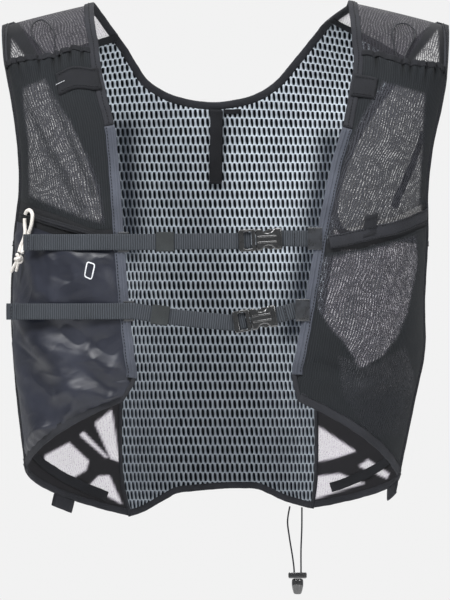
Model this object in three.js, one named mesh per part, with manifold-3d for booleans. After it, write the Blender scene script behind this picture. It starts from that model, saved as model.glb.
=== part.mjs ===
// Running hydration vest, worn shape: an air-mesh back, sheer sides and yokes, two fronts with pockets,
// and two chest straps with side-release buckles. Millimetres, +Z up, fronts towards -Y.
// The origin lies between the shoulders, at shoulder height.
import * as THREE from 'three';
import { mergeVertices } from 'three/addons/utils/BufferGeometryUtils.js';
import Module from 'manifold-3d';

const wasm = await Module();
wasm.setup();

// Overall sizes that the tables below are shares of
const HALF_WIDTH = 207;
const LENGTH = 460;
const HALF_DEPTH = 105;

// Cloth, tapes and gaps
const MESH_THICKNESS = 1.0;
const AIR_MESH_THICKNESS = 4.0;
const NYLON_THICKNESS = 1.0;
const SEAM_GAP = 0.6;
const POCKET_SIDE_GAP = 1.4;
const LAYER_GAP = 0.7;
const FIT_GAP = 0.3;
const SEAM_TAPE_GAP = 1.6;
const BINDING_WIDTH = 6.5;
const BINDING_THICKNESS = 2.2;
const NECK_BINDING_WIDTH = 7;
const FRONT_EDGE_WIDTH = 9.2;
const RAIL_THICKNESS = 2.6;
const HEM_WIDTH = 5;
const FRONT_HEM_WIDTH = 8.5;
const TAPE_THICKNESS = 1.1;
const POCKET_PUFF = 3.0;
const GATHER_HEIGHT = 0.7;
const GATHER_COUNT = 5;
const GATHER_FADE = 4;
const PUFF_START = 0.12;
const LOWER_PUFF = 0.8;
const FOLD_HEIGHT = 1.3;
const ZIP_WIDTH = 5;
const POCKET_BAND_WIDTH = 11;

// Chest straps, keepers, hooks and buckles
const WEBBING_WIDTH = 15;
const WEBBING_THICKNESS = 1.4;
const UPPER_STANDOFF = 5.8;
const LOWER_STANDOFF = 8.4;
const KEEPER_LENGTH = 15;
const KEEPER_THICKNESS = 0.9;
const TAIL_UPPER = 33;
const TAIL_LOWER = 49;
const TAIL_TURN = 0.62;
const LOWER_SAG = 1.2;
const HOOK_HEIGHT = 20;
const HOOK_HEIGHT_LEFT = 18.5;
const HOOK_PLATE = 1.4;
const HOOK_WALL = 1.4;
const HOOK_EDGE_CLEAR = 3;
const HOOK_GRIP = 5.5;
const HOOK_GRIP_BACK = 3;
const HOOK_SLOT_DEPTH = 3.2;
const HOOK_SLOT_CLEAR = 0.8;
const SLOT_REACH = 1.2;
const BUCKLE_LENGTH = 40;
const BUCKLE_THICKNESS = 7.5;
const BUCKLE_SIDE = 2.2;
const BUCKLE_CUT = 1.6;
const BUCKLE_SLOT = 2.6;
const LADDER_LENGTH = 12;
const LADDER_BAR = 4.5;
const LADDER_CROSS = 1.6;
const LADDER_THICKNESS = 2.6;
const LADDER_BASE = 3.5;
const PRONG_LENGTH = 18;
const PRONG_BASE = 7;
const PRONG_HALF = 8;
const PRONG_WIDTH = 3;
const PRONG_BARB = 1.6;
const PRONG_THICKNESS = 3.6;
const RIDGE_COUNT = 4;
const RIDGE_PITCH = 3.6;
const RIDGE_WIDTH = 1.4;
const RIDGE_HEIGHT = 0.5;
const RIDGE_REACH = 6;
const SHORT_STRAP_LAYERS = 2;

// Small tapes and cords
const HANG_LOOP_WIDTH = 11.5;
const HANG_LOOP_LENGTH = 70;
const HANG_LOOP_THICKNESS = 1.2;
const HANG_LOOP_OPEN = 3.2;
const LABEL_WIDTH = 16;
const LABEL_HEIGHT = 4.6;
const LABEL_THICKNESS = 0.8;
const SIDE_STRAP_WIDTH = 9;
const SEAM_TAPE_WIDTH = 8;
const TAB_THICKNESS = 1.8;
const HEM_TAB_LENGTH = 12;
const DRAWCORD_DIAMETER = 1.5;
const PULL_CORD_DIAMETER = 3.0;
const SHOULDER_LOOP_DIAMETER = 1.4;
const KNOT_DIAMETER = 9;
const KNOT_LENGTH = 10;
const CORD_TAIL_LENGTH = 11;
const CORD_LOCK_LENGTH = 17;
const CORD_LOCK_HEIGHT = 5.5;
const CORD_LOCK_DEPTH = 7;
const CORD_END_LENGTH = 14.5;
const CORD_END_DIAMETER = 10.5;
const CORD_LOCK_STRAND = 3.2;
const ROUND_SIDES = 12;

// Places, as shares of HALF_WIDTH across and of LENGTH down from the shoulders
const UPPER_DOWN = 0.455;
const LOWER_DOWN = 0.592;
const UPPER_BUCKLE = { across: 0.06, down: 0.4526, tilt: 0.06 };
const LOWER_BUCKLE = { across: 0.037, down: 0.615, tilt: 0.166 };
const UPPER_HOOK_DOWN = 0.448;
const LOWER_HOOK_DOWN = 0.590;
const HANG_LOOP = { across: -0.04, down: 0.186 };
const LABEL = { across: 0.033, down: 0.190 };
const HEM_TAB = { left: { inner: 0.32, outer: 0.48 }, right: { inner: 0.66, outer: 0.92 } };

// Tables: every value is a share of HALF_WIDTH (across), HALF_DEPTH (forward or back) or LENGTH (down)
const columns = (names, rows) => rows.map(
  row => Object.fromEntries(names.map((name, i) => [name, row[i]])));

// The first row lies past the shoulder line and only guides the slope there
const FRONT_COLUMNS = ['innerAcross', 'innerDown', 'innerForward', 'outerAcross', 'outerDown', 'outerForward'];
const FRONT_LEFT = columns(FRONT_COLUMNS, [
  [-0.578, 0.014, -0.46, -0.987, 0.050, -0.30],
  [-0.582, -0.024, 0.00, -0.991, 0.020, 0.00],
  [-0.578, 0.014, 0.46, -0.987, 0.050, 0.30],
  [-0.560, 0.060, 0.70, -0.978, 0.094, 0.44],
  [-0.551, 0.098, 0.82, -0.964, 0.126, 0.51],
  [-0.524, 0.160, 0.92, -0.938, 0.190, 0.54],
  [-0.489, 0.222, 0.97, -0.916, 0.270, 0.52],
  [-0.471, 0.300, 0.99, -0.911, 0.350, 0.40],
  [-0.449, 0.438, 1.02, -0.933, 0.440, 0.20],
  [-0.427, 0.570, 1.02, -0.947, 0.570, 0.14],
  [-0.404, 0.670, 1.00, -0.938, 0.670, 0.14],
  [-0.393, 0.726, 0.97, -0.920, 0.770, 0.14],
  [-0.450, 0.772, 0.95, -0.884, 0.906, 0.17],
]);
const FRONT_RIGHT = columns(FRONT_COLUMNS, [
  [0.552, 0.014, -0.46, 0.991, 0.060, -0.30],
  [0.545, -0.019, 0.00, 0.995, 0.019, 0.00],
  [0.556, 0.014, 0.46, 0.991, 0.060, 0.30],
  [0.564, 0.060, 0.70, 0.985, 0.100, 0.44],
  [0.569, 0.098, 0.82, 0.976, 0.142, 0.51],
  [0.547, 0.160, 0.92, 0.953, 0.196, 0.54],
  [0.520, 0.224, 0.97, 0.920, 0.262, 0.52],
  [0.471, 0.300, 0.99, 0.898, 0.350, 0.40],
  [0.407, 0.438, 1.02, 0.898, 0.442, 0.20],
  [0.356, 0.570, 1.02, 0.884, 0.570, 0.14],
  [0.320, 0.660, 1.00, 0.884, 0.670, 0.14],
  [0.297, 0.718, 0.97, 0.842, 0.766, 0.14],
  [0.322, 0.772, 0.95, 0.769, 0.926, 0.17],
]);
const BACK_COLUMNS = ['leftAcross', 'rightAcross', 'edgeDown', 'midDown', 'edgeBack', 'midBack'];
const BACK = columns(BACK_COLUMNS, [
  [-0.930, 0.920, 0.050, -0.010, -0.38, -0.46],
  [-0.965, 0.970, 0.020, -0.060, 0.00, 0.00],
  [-0.893, 0.880, 0.048, -0.010, 0.38, 0.46],
  [-0.822, 0.818, 0.094, 0.040, 0.54, 0.68],
  [-0.791, 0.769, 0.135, 0.105, 0.61, 0.80],
  [-0.720, 0.689, 0.180, 0.165, 0.67, 0.88],
  [-0.662, 0.613, 0.235, 0.230, 0.70, 0.94],
  [-0.604, 0.547, 0.300, 0.300, 0.71, 0.98],
  [-0.556, 0.502, 0.370, 0.370, 0.68, 1.00],
  [-0.516, 0.484, 0.450, 0.450, 0.63, 0.98],
  [-0.480, 0.444, 0.570, 0.570, 0.56, 0.92],
  [-0.467, 0.422, 0.670, 0.670, 0.53, 0.88],
  [-0.467, 0.409, 0.770, 0.770, 0.53, 0.88],
  [-0.468, 0.409, 0.870, 0.870, 0.56, 0.92],
  [-0.458, 0.404, 0.940, 0.940, 0.58, 0.95],
  [-0.422, 0.382, 1.006, 1.006, 0.60, 0.97],
]);
const BACK_ROUND = 2.6;
const SHOULDER_ROUND = 1.5;
const FRONT_CORNER = 0.85;
const SIDE_CORNER = 0.75;

// Outlines on the back: across, down
const NECKLINE = [
  [-0.579, -0.024], [-0.445, 0.059], [-0.394, 0.096], [-0.338, 0.131], [-0.235, 0.158], [-0.107, 0.171],
  [0, 0.171], [0.128, 0.158], [0.222, 0.132], [0.287, 0.099], [0.382, 0.047], [0.446, 0.013], [0.545, -0.019],
];
const BACK_HEM = [
  [-0.422, 1.004], [-0.362, 0.995], [-0.267, 0.971], [-0.209, 0.958], [-0.107, 0.953], [0, 0.949],
  [0.128, 0.949], [0.191, 0.958], [0.255, 0.972], [0.344, 0.984], [0.384, 0.988],
];
const SEAM_ON_NECK = { left: 0.75, right: 11.25 };
const SEAM_OUTER_DOWN = 0.094;
const ARMHOLE = {
  left: { backDown: 0.43, frontDown: 0.45, hemBackDown: 1.004 },
  right: { backDown: 0.43, frontDown: 0.45, hemBackDown: 0.988 },
};

// Outlines on the fronts: across, down, from the inner edge to the outer edge
const UPPER_POCKET_LEFT = {
  top: [[-0.56, 0.070], [-0.655, 0.070], [-0.76, 0.086], [-0.84, 0.090], [-0.94, 0.096]],
  bottom: [[-0.46, 0.427], [-0.55, 0.428], [-0.72, 0.402], [-0.85, 0.384], [-0.91, 0.375]],
};
const LOWER_POCKET_LEFT = {
  top: [[-0.46, 0.470], [-0.55, 0.466], [-0.66, 0.450], [-0.755, 0.438], [-0.85, 0.424], [-0.93, 0.412]],
};
const ZIP_LEFT = [[-0.50, 0.451], [-0.55, 0.446], [-0.66, 0.430], [-0.755, 0.417], [-0.85, 0.403], [-0.90, 0.396]];
const UPPER_POCKET_RIGHT = {
  top: [[0.60, 0.076], [0.68, 0.084], [0.76, 0.094], [0.84, 0.100], [0.94, 0.104]],
  bottom: [[0.43, 0.432], [0.555, 0.424], [0.66, 0.412], [0.76, 0.402], [0.85, 0.385], [0.90, 0.376]],
};
const LOWER_POCKET_RIGHT = {
  top: [[0.42, 0.476], [0.555, 0.470], [0.66, 0.458], [0.76, 0.446], [0.85, 0.430], [0.91, 0.420]],
};
const BAND_RIGHT = [[0.462, 0.455], [0.555, 0.447], [0.66, 0.435], [0.76, 0.424], [0.845, 0.408], [0.885, 0.400]];

const RAIL = { left: { top: 0.222, end: 0.726 }, right: { top: 0.226, end: 0.718 } };
const UPPER_POCKET = { left: UPPER_POCKET_LEFT, right: UPPER_POCKET_RIGHT };
const LOWER_POCKET = { left: LOWER_POCKET_LEFT, right: LOWER_POCKET_RIGHT };
const TAB_COLUMNS = ['name', 'inner', 'outer', 'top', 'bottom'];
const POCKET_TABS = {
  left: columns(TAB_COLUMNS, [['elastic_tab', 0.04, 0.46, 0.09, 0.225]]),
  right: columns(TAB_COLUMNS, [['elastic_tab', 0.02, 0.27, 0.125, 0.25], ['mid_tab', 0.37, 0.47, 0.87, 0.97]]),
};
const SIDE_STRAP = { inner: 0.10, outer: 0.90, innerRow: 0.92, outerRow: 0.86 };
const FRONT_ROWS = 19;

// Cords: routes in millimetres from the origin, chosen by hand. A loop on a shoulder starts and ends on the
// front; both strands of the drawcord leave the hem, pass through the lock and end at the end piece; both
// strands of the pull cord leave the zip and end at the knot
const CORDS = [
  {
    name: 'shoulder_loop_left',
    diameter: SHOULDER_LOOP_DIAMETER,
    steps: 30,
    route: [
      [-156.7, -77.6, -36.7], [-155.8, -69.5, -27.5], [-156.7, -60.2, -18.1], [-161.3, -46.0, -9.6],
      [-167.8, -30.7, -5.0], [-174.2, -31.6, -6.8], [-178.3, -43.1, -12.4], [-177.1, -53.9, -19.1],
      [-173.2, -62.7, -26.1], [-168.8, -68.7, -31.2], [-163.9, -75.4, -36.7],
    ],
  },
  {
    name: 'shoulder_loop_right',
    diameter: SHOULDER_LOOP_DIAMETER,
    steps: 30,
    route: [
      [158.4, -81.6, -42.1], [155.7, -73.9, -33.0], [153.9, -65.3, -23.3], [153.9, -55.4, -15.3],
      [157.4, -43.8, -9.6], [162.3, -38.4, -8.2], [166.9, -36.9, -8.7], [171.5, -40.2, -11.5],
      [174.3, -45.9, -15.2], [173.4, -56.4, -21.8], [170.7, -63.7, -27.4], [167.0, -72.4, -34.8],
      [163.8, -79.3, -42.1],
    ],
  },
  {
    name: 'drawcord_left',
    diameter: DRAWCORD_DIAMETER,
    steps: 16,
    route: [
      [59.9, 82.4, -452.8], [57.8, 81.6, -466.4], [59.4, 80.2, -480.9], [62.4, 78.4, -499.4],
      [63.8, 77.5, -511.2], [63.8, 77.5, -519.3],
    ],
  },
  {
    name: 'drawcord_right',
    diameter: DRAWCORD_DIAMETER,
    steps: 16,
    route: [
      [71.0, 73.2, -453.6], [70.9, 74.6, -472.9], [70.2, 76.4, -492.8], [70.2, 77.5, -511.2],
      [70.2, 77.5, -519.3],
    ],
  },
  {
    name: 'pull_cord_front',
    diameter: PULL_CORD_DIAMETER,
    steps: 16,
    white: true,
    route: [
      [-183.0, -67.0, -183.4], [-181.5, -69.6, -180.6], [-178.7, -74.2, -180.0], [-176.5, -77.1, -183.5],
      [-176.8, -77.0, -189.5], [-178.0, -76.3, -195.5], [-180.0, -73.6, -201.0], [-181.0, -72.2, -206.5],
      [-184.2, -68.8, -212.5], [-186.2, -69.6, -219.5],
    ],
  },
  {
    name: 'pull_cord_back',
    diameter: PULL_CORD_DIAMETER,
    steps: 10,
    white: true,
    route: [
      [-183.6, -65.6, -187.4], [-183.5, -66.3, -193.2], [-183.2, -69.4, -200.0], [-184.4, -68.4, -206.1],
      [-187.2, -65.6, -212.5], [-188.7, -67.0, -218.4],
    ],
  },
];
const KNOT = { top: [-187.8, -68.0, -220.3], end: [-194.1, -58.6, -237.9] };
const CORD_LOCK = { middle: [67, 77.5, -516.5] };

// Curves and surfaces

// Smooth value at place t of a list, where the first entry is at 0
function through(values, t) {
  const last = values.length - 1;
  const i = Math.min(Math.max(Math.floor(t), 0), last - 1);
  const f = t - i;
  const a = values[Math.max(i - 1, 0)];
  const b = values[i];
  const c = values[i + 1];
  const d = values[Math.min(i + 2, last)];
  return 0.5 * (2 * b + (c - a) * f + (2 * a - 5 * b + 4 * c - d) * f * f + (3 * b - a - 3 * c + d) * f ** 3);
}

// A smooth outline through a list of pairs; t runs from 0 to 1
function outline(pairs) {
  const first = pairs.map(pair => pair[0]);
  const second = pairs.map(pair => pair[1]);
  const steps = pairs.length - 1;
  return t => [through(first, t * steps), through(second, t * steps)];
}

const mix = (a, b, t) => a + (b - a) * t;

// The column of a table as a smooth function of the row; row 0 is the shoulder line, after the guide row
function reader(rows) {
  const stored = Object.fromEntries(Object.keys(rows[0]).map(key => [key, rows.map(row => row[key])]));
  return (key, v) => through(stored[key], v + 1);
}

// Adds to a surface its normal, a way to find a place by across and down, and distances from its edges
function surface(at, facing, rowCount) {
  const step = 1e-3;
  const normal = (u, v) => {
    const alongU = at(u + step, v).sub(at(u - step, v));
    const alongV = at(u, v + step).sub(at(u, v - step));
    return alongU.cross(alongV).normalize().multiplyScalar(facing);
  };
  const locate = (across, down) => {
    const x = across * HALF_WIDTH;
    const z = -down * LENGTH;
    let best = [0, 0];
    let least = Infinity;
    for (let i = 0; i <= 12; i++) {
      for (let j = 0; j <= rowCount * 2; j++) {
        const p = at(i / 12, j / 2);
        const miss = Math.hypot(p.x - x, p.z - z);
        if (miss < least) {
          least = miss;
          best = [i / 12, j / 2];
        }
      }
    }
    let [u, v] = best;
    for (let k = 0; k < 14; k++) {
      const p = at(u, v);
      const pu = at(u + step, v).sub(p).divideScalar(step);
      const pv = at(u, v + step).sub(p).divideScalar(step);
      const det = pu.x * pv.z - pu.z * pv.x;
      const dx = x - p.x;
      const dz = z - p.z;
      u += THREE.MathUtils.clamp((dx * pv.z - dz * pv.x) / det, -0.1, 0.1);
      v += THREE.MathUtils.clamp((pu.x * dz - pu.z * dx) / det, -0.5, 0.5);
    }
    return [u, v];
  };
  // The place on row v that lies a distance in from the edge at u = 0 or u = 1
  const inset = (edge, v, distance) => {
    const start = at(edge, v);
    let low = 0;
    let high = 0.6;
    for (let k = 0; k < 24; k++) {
      const middle = (low + high) / 2;
      const u = edge === 0 ? middle : 1 - middle;
      if (at(u, v).distanceTo(start) < distance) low = middle;
      else high = middle;
    }
    return edge === 0 ? low : 1 - low;
  };
  // The row on column u that lies a distance in from the first or the last row
  const rowInset = (u, row, distance) => {
    const start = at(u, row);
    let low = row;
    let high = rowCount / 2;
    for (let k = 0; k < 24; k++) {
      const v = (low + high) / 2;
      if (at(u, v).distanceTo(start) < distance) low = v;
      else high = v;
    }
    return low;
  };
  // The row at which the line u = edge has come down to a share of LENGTH
  const rowAt = (edge, down) => {
    let low = 0;
    let high = rowCount;
    for (let k = 0; k < 30; k++) {
      const middle = (low + high) / 2;
      if (-at(edge, middle).z < down * LENGTH) low = middle;
      else high = middle;
    }
    return low;
  };
  return { at, normal, locate, inset, rowInset, rowAt, last: rowCount };
}

function makeBack() {
  const read = reader(BACK);
  const at = (u, v) => {
    const off = Math.abs(2 * u - 1);
    const left = read('leftAcross', v);
    const right = read('rightAcross', v);
    const back = mix(read('midBack', v), read('edgeBack', v), off ** BACK_ROUND);
    const down = mix(read('midDown', v), read('edgeDown', v), off ** SHOULDER_ROUND);
    return new THREE.Vector3(mix(left, right, u) * HALF_WIDTH, back * HALF_DEPTH, -down * LENGTH);
  };
  return surface(at, 1, BACK.length - 2);
}

// A front runs from its inner edge (u = 0) round to the side (u = 1); its shoulder line meets the back's
function makeFront(rows, facing, back) {
  const read = reader(rows);
  const raw = (u, v) => {
    const bend = 2 * u * (1 - u);
    const near = (1 - u) ** 2;
    const far = u * u;
    const inner = read('innerAcross', v);
    const outer = read('outerAcross', v);
    const innerDown = read('innerDown', v);
    const outerDown = read('outerDown', v);
    const innerForward = read('innerForward', v);
    const across = near * inner + bend * mix(inner, outer, FRONT_CORNER) + far * outer;
    const down = near * innerDown + bend * (innerDown + outerDown) / 2 + far * outerDown;
    const forward = near * innerForward + bend * innerForward * 1.03 + far * read('outerForward', v);
    return new THREE.Vector3(across * HALF_WIDTH, -forward * HALF_DEPTH, -down * LENGTH);
  };
  const shoulderHeight = x => {
    const left = back.at(0, 0).x;
    const right = back.at(1, 0).x;
    return back.at((x - left) / (right - left), 0).z;
  };
  const at = (u, v) => {
    const p = raw(u, v);
    const fade = Math.max(0, 1 - v * v) ** 2;
    if (fade > 0) {
      const top = raw(u, 0);
      p.z += (shoulderHeight(top.x) - top.z) * fade;
    }
    return p;
  };
  return surface(at, facing, rows.length - 2);
}

// A side wraps from the edge of the air mesh (u = 0) to the outer edge of a front (u = 1)
function makeSide(back, backEdge, front, armhole, facing) {
  const backTop = back.rowAt(backEdge, armhole.backDown);
  const backEnd = back.rowAt(backEdge, armhole.hemBackDown);
  const frontTop = front.rowAt(1, armhole.frontDown);
  const at = (u, v) => {
    const inner = back.at(backEdge, mix(backTop, backEnd, v));
    const outer = front.at(1, mix(frontTop, front.last, v));
    const corner = new THREE.Vector3(outer.x, mix(outer.y, inner.y, SIDE_CORNER), (inner.z + outer.z) / 2);
    return new THREE.Vector3()
      .addScaledVector(inner, (1 - u) ** 2)
      .addScaledVector(corner, 2 * u * (1 - u))
      .addScaledVector(outer, u * u);
  };
  return Object.assign(surface(at, facing, 1), { backTop, backEnd, frontTop });
}

// Solids

// A closed body between two grids of points, near and far
function slab(near, far) {
  const rows = near.length;
  const cols = near[0].length;
  const positions = [];
  [near, far].forEach(grid => grid.forEach(row => row.forEach(p => positions.push(p.x, p.y, p.z))));
  const index = (layer, i, j) => layer * rows * cols + i * cols + j;
  const faces = [];
  const quad = (a, b, c, d) => faces.push(a, b, c, a, c, d);
  for (let i = 0; i + 1 < rows; i++) {
    for (let j = 0; j + 1 < cols; j++) {
      quad(index(1, i, j), index(1, i, j + 1), index(1, i + 1, j + 1), index(1, i + 1, j));
      quad(index(0, i, j), index(0, i + 1, j), index(0, i + 1, j + 1), index(0, i, j + 1));
    }
    quad(index(0, i, 0), index(1, i, 0), index(1, i + 1, 0), index(0, i + 1, 0));
    quad(index(0, i + 1, cols - 1), index(1, i + 1, cols - 1), index(1, i, cols - 1), index(0, i, cols - 1));
  }
  for (let j = 0; j + 1 < cols; j++) {
    quad(index(0, 0, j + 1), index(1, 0, j + 1), index(1, 0, j), index(0, 0, j));
    quad(index(0, rows - 1, j), index(1, rows - 1, j), index(1, rows - 1, j + 1), index(0, rows - 1, j + 1));
  }
  const geometry = new THREE.BufferGeometry();
  geometry.setAttribute('position', new THREE.Float32BufferAttribute(positions, 3));
  geometry.setIndex(faces);
  return outward(geometry);
}

// Turns the faces of a closed body outwards
function outward(geometry) {
  const p = geometry.getAttribute('position');
  const index = geometry.index.array;
  let volume = 0;
  const corner = k => new THREE.Vector3().fromBufferAttribute(p, index[k]);
  for (let k = 0; k < index.length; k += 3) volume += corner(k).dot(corner(k + 1).cross(corner(k + 2)));
  if (volume < 0) {
    for (let k = 0; k < index.length; k += 3) [index[k], index[k + 1]] = [index[k + 1], index[k]];
  }
  return geometry;
}

// A grid of places between two outlines on a surface, each given as t to (u, v)
function ruled(first, last, alongSteps, acrossSteps) {
  const grid = [];
  for (let j = 0; j <= acrossSteps; j++) {
    const row = [];
    for (let i = 0; i <= alongSteps; i++) {
      const a = first(i / alongSteps);
      const b = last(i / alongSteps);
      row.push([mix(a[0], b[0], j / acrossSteps), mix(a[1], b[1], j / acrossSteps)]);
    }
    grid.push(row);
  }
  return grid;
}

// The inside and outside points of cloth on a surface: grid holds places (u, v), and lift the distance of
// the inside from the surface, a number or a function of the grid's shares
function clothPoints(on, grid, lift, thickness) {
  const rows = grid.length - 1;
  const cols = grid[0].length - 1;
  const height = typeof lift === 'function' ? lift : () => lift;
  const layer = extra => grid.map((row, j) => row.map(([u, v], i) => {
    const rise = height(i / cols, j / rows) + extra;
    return on.at(u, v).addScaledVector(on.normal(u, v), rise);
  }));
  return [layer(0), layer(thickness)];
}

const cloth = (on, grid, lift, thickness) => slab(...clothPoints(on, grid, lift, thickness));

// A folded tape that hugs an edge: its two long sides are lists of places on the surface
const folded = (on, edge, inside, thickness) => cloth(on, [edge, inside], -thickness / 2, thickness);

// Places along an edge line u = 0 or 1, a distance in from it
const alongEdge = (on, edge, rows, distance) => rows.map(
  v => [distance === 0 ? edge : on.inset(edge, v, distance), v]);

// A tape along a path of points with normals, between two distances to its side
function tape(path, from, to, lift, thickness) {
  const layer = rise => path.map((place, i) => {
    const before = path[Math.max(i - 1, 0)].point;
    const after = path[Math.min(i + 1, path.length - 1)].point;
    const side = after.clone().sub(before).normalize().cross(place.normal).normalize();
    const base = place.point.clone().addScaledVector(place.normal, rise);
    return [from, to].map(distance => base.clone().addScaledVector(side, distance));
  });
  return slab(layer(lift), layer(lift + thickness));
}

// The places of a path on a surface, with points and normals
const pathOn = (on, places) => places.map(([u, v]) => ({ point: on.at(u, v), normal: on.normal(u, v) }));
const steps = (count, make) => Array.from({ length: count + 1 }, (_, i) => make(i / count));

// Places on a surface that lie a distance to the side of an outline
function besideOutline(on, places, distance) {
  const path = pathOn(on, places);
  return path.map((place, i) => {
    const before = path[Math.max(i - 1, 0)].point;
    const after = path[Math.min(i + 1, path.length - 1)].point;
    const side = after.clone().sub(before).normalize().cross(place.normal).normalize();
    const p = place.point.clone().addScaledVector(side, distance);
    return on.locate(p.x / HALF_WIDTH, -p.z / LENGTH);
  });
}

// A box whose low and high corners are given
function block(low, high) {
  const size = high.map((value, i) => value - low[i]);
  const geometry = new THREE.BoxGeometry(...size);
  geometry.translate(...low.map((value, i) => value + size[i] / 2));
  return geometry;
}

// A flat outline in along and height, of a thickness in depth from front
function plate(points, holes, front, thickness) {
  const shape = new THREE.Shape(points.map(([x, y]) => new THREE.Vector2(x, y)));
  holes.forEach(hole => shape.holes.push(new THREE.Path(hole.map(([x, y]) => new THREE.Vector2(x, y)))));
  const geometry = new THREE.ExtrudeGeometry(shape, { depth: thickness, bevelEnabled: false });
  geometry.translate(0, 0, front);
  return geometry;
}

const rectangle = (x0, y0, x1, y1) => [[x0, y0], [x1, y0], [x1, y1], [x0, y1]];

// A rectangle with cut corners
const softRectangle = (x0, y0, x1, y1, cut) => [
  [x0 + cut, y0], [x1 - cut, y0], [x1, y0 + cut], [x1, y1 - cut],
  [x1 - cut, y1], [x0 + cut, y1], [x0, y1 - cut], [x0, y0 + cut],
];

function bare(geometry) {
  const copy = geometry.clone();
  copy.deleteAttribute('normal');
  copy.deleteAttribute('uv');
  return mergeVertices(copy, 1e-4);
}

function solid(geometry) {
  const merged = bare(geometry);
  return new wasm.Manifold(new wasm.Mesh({
    numProp: 3,
    vertProperties: merged.getAttribute('position').array,
    triVerts: new Uint32Array(merged.index.array),
  }));
}

// The first geometry joined with some and cut by others
function carve(base, joined, cut) {
  let result = solid(base);
  joined.forEach(geometry => { result = result.add(solid(geometry)); });
  cut.forEach(geometry => { result = result.subtract(solid(geometry)); });
  const made = result.getMesh();
  const geometry = new THREE.BufferGeometry();
  geometry.setAttribute('position', new THREE.Float32BufferAttribute(made.vertProperties, 3));
  geometry.setIndex(Array.from(made.triVerts));
  return geometry;
}

// A round cord through chosen points
function cordTube(points, diameter, stepCount) {
  const curve = new THREE.CatmullRomCurve3(points);
  const sides = 8;
  const section = new THREE.Shape(steps(sides - 1, t => {
    const angle = t * (sides - 1) / sides * 2 * Math.PI;
    return new THREE.Vector2(Math.cos(angle), Math.sin(angle)).multiplyScalar(diameter / 2);
  }));
  return bare(new THREE.ExtrudeGeometry(section, { steps: stepCount, extrudePath: curve, bevelEnabled: false }));
}

// The vest

const vest = new THREE.Group();
function add(name, geometry, colour, roughness, parent = vest) {
  const material = new THREE.MeshStandardMaterial({ color: colour, roughness, metalness: 0 });
  const mesh = new THREE.Mesh(geometry, material);
  mesh.name = name;
  parent.add(mesh);
  return mesh;
}

const back = makeBack();
const fronts = { left: makeFront(FRONT_LEFT, 1, back), right: makeFront(FRONT_RIGHT, -1, back) };
const sides = {
  left: makeSide(back, 0, fronts.left, ARMHOLE.left, -1),
  right: makeSide(back, 1, fronts.right, ARMHOLE.right, 1),
};
const halfMesh = MESH_THICKNESS / 2;
const overMesh = halfMesh + LAYER_GAP;
const COLOURS = {
  airMesh: 0x9fb0be, sheer: 0x55565c, binding: 0x3c3d41, rail: 0x3a3c48, nylon: 0x2c2f38,
  stretch: 0x3a3b3f, webbing: 0x3b4040, plastic: 0x1d1e20, black: 0x1a1b1d, cord: 0xe8e2dc,
};
const backEdgeOf = { left: 0, right: 1 };

const SHOULDER_GAP = 0.02;
const rowsBetween = (from, to, count) => steps(count, t => mix(from, to, t));
const smoothList = (list, t) => {
  const place = t * (list.length - 1);
  return [through(list.map(p => p[0]), place), through(list.map(p => p[1]), place)];
};

// Neck tape, from the left shoulder to the right shoulder, with its stations shared by the yokes and panel
const neckline = outline(NECKLINE);
const seamShare = {
  left: SEAM_ON_NECK.left / (NECKLINE.length - 1),
  right: SEAM_ON_NECK.right / (NECKLINE.length - 1),
};
const YOKE_ROWS = 3;
const NECK_COLUMNS = 16;
const neckShares = [
  ...rowsBetween(0, seamShare.left, YOKE_ROWS).slice(0, -1),
  ...rowsBetween(seamShare.left, seamShare.right, NECK_COLUMNS),
  ...rowsBetween(seamShare.right, 1, YOKE_ROWS).slice(1),
];
const backWidthAt = v => back.at(1, v).x - back.at(0, v).x;
const neckEdge = neckShares.map(t => {
  const [across, down] = neckline(t);
  const atShoulder = (across * HALF_WIDTH - back.at(0, 0).x) / backWidthAt(0);
  return t === 0 || t === 1 ? [atShoulder, SHOULDER_GAP] : back.locate(across, down);
});
const neckTapeInside = besideOutline(back, neckEdge, -NECK_BINDING_WIDTH);
const neckInside = besideOutline(back, neckEdge, -(NECK_BINDING_WIDTH + SEAM_GAP));
[neckTapeInside, neckInside].forEach(list => [list[0], list[list.length - 1]].forEach(place => {
  place[1] = SHOULDER_GAP;
}));
add('neck_binding', folded(back, neckEdge, neckTapeInside, BINDING_THICKNESS), COLOURS.binding, 0.85);

// Yokes from the shoulder line to the air mesh
const armInset = BINDING_WIDTH + SEAM_GAP;
const neckOfYoke = {
  left: neckInside.slice(0, YOKE_ROWS + 1),
  right: neckInside.slice(-YOKE_ROWS - 1).reverse(),
};
const yokeEnd = back.rowAt(0, SEAM_OUTER_DOWN);
const yokeRows = rowsBetween(SHOULDER_GAP, yokeEnd, YOKE_ROWS);
['left', 'right'].forEach(hand => {
  const outer = alongEdge(back, backEdgeOf[hand], yokeRows, armInset);
  const grid = yokeRows.map((_, j) => steps(6, t => [
    mix(outer[j][0], neckOfYoke[hand][j][0], t), mix(outer[j][1], neckOfYoke[hand][j][1], t)]));
  add(`shoulder_yoke_${hand}`, cloth(back, grid, -halfMesh, MESH_THICKNESS), COLOURS.sheer, 0.8);
});

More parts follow.
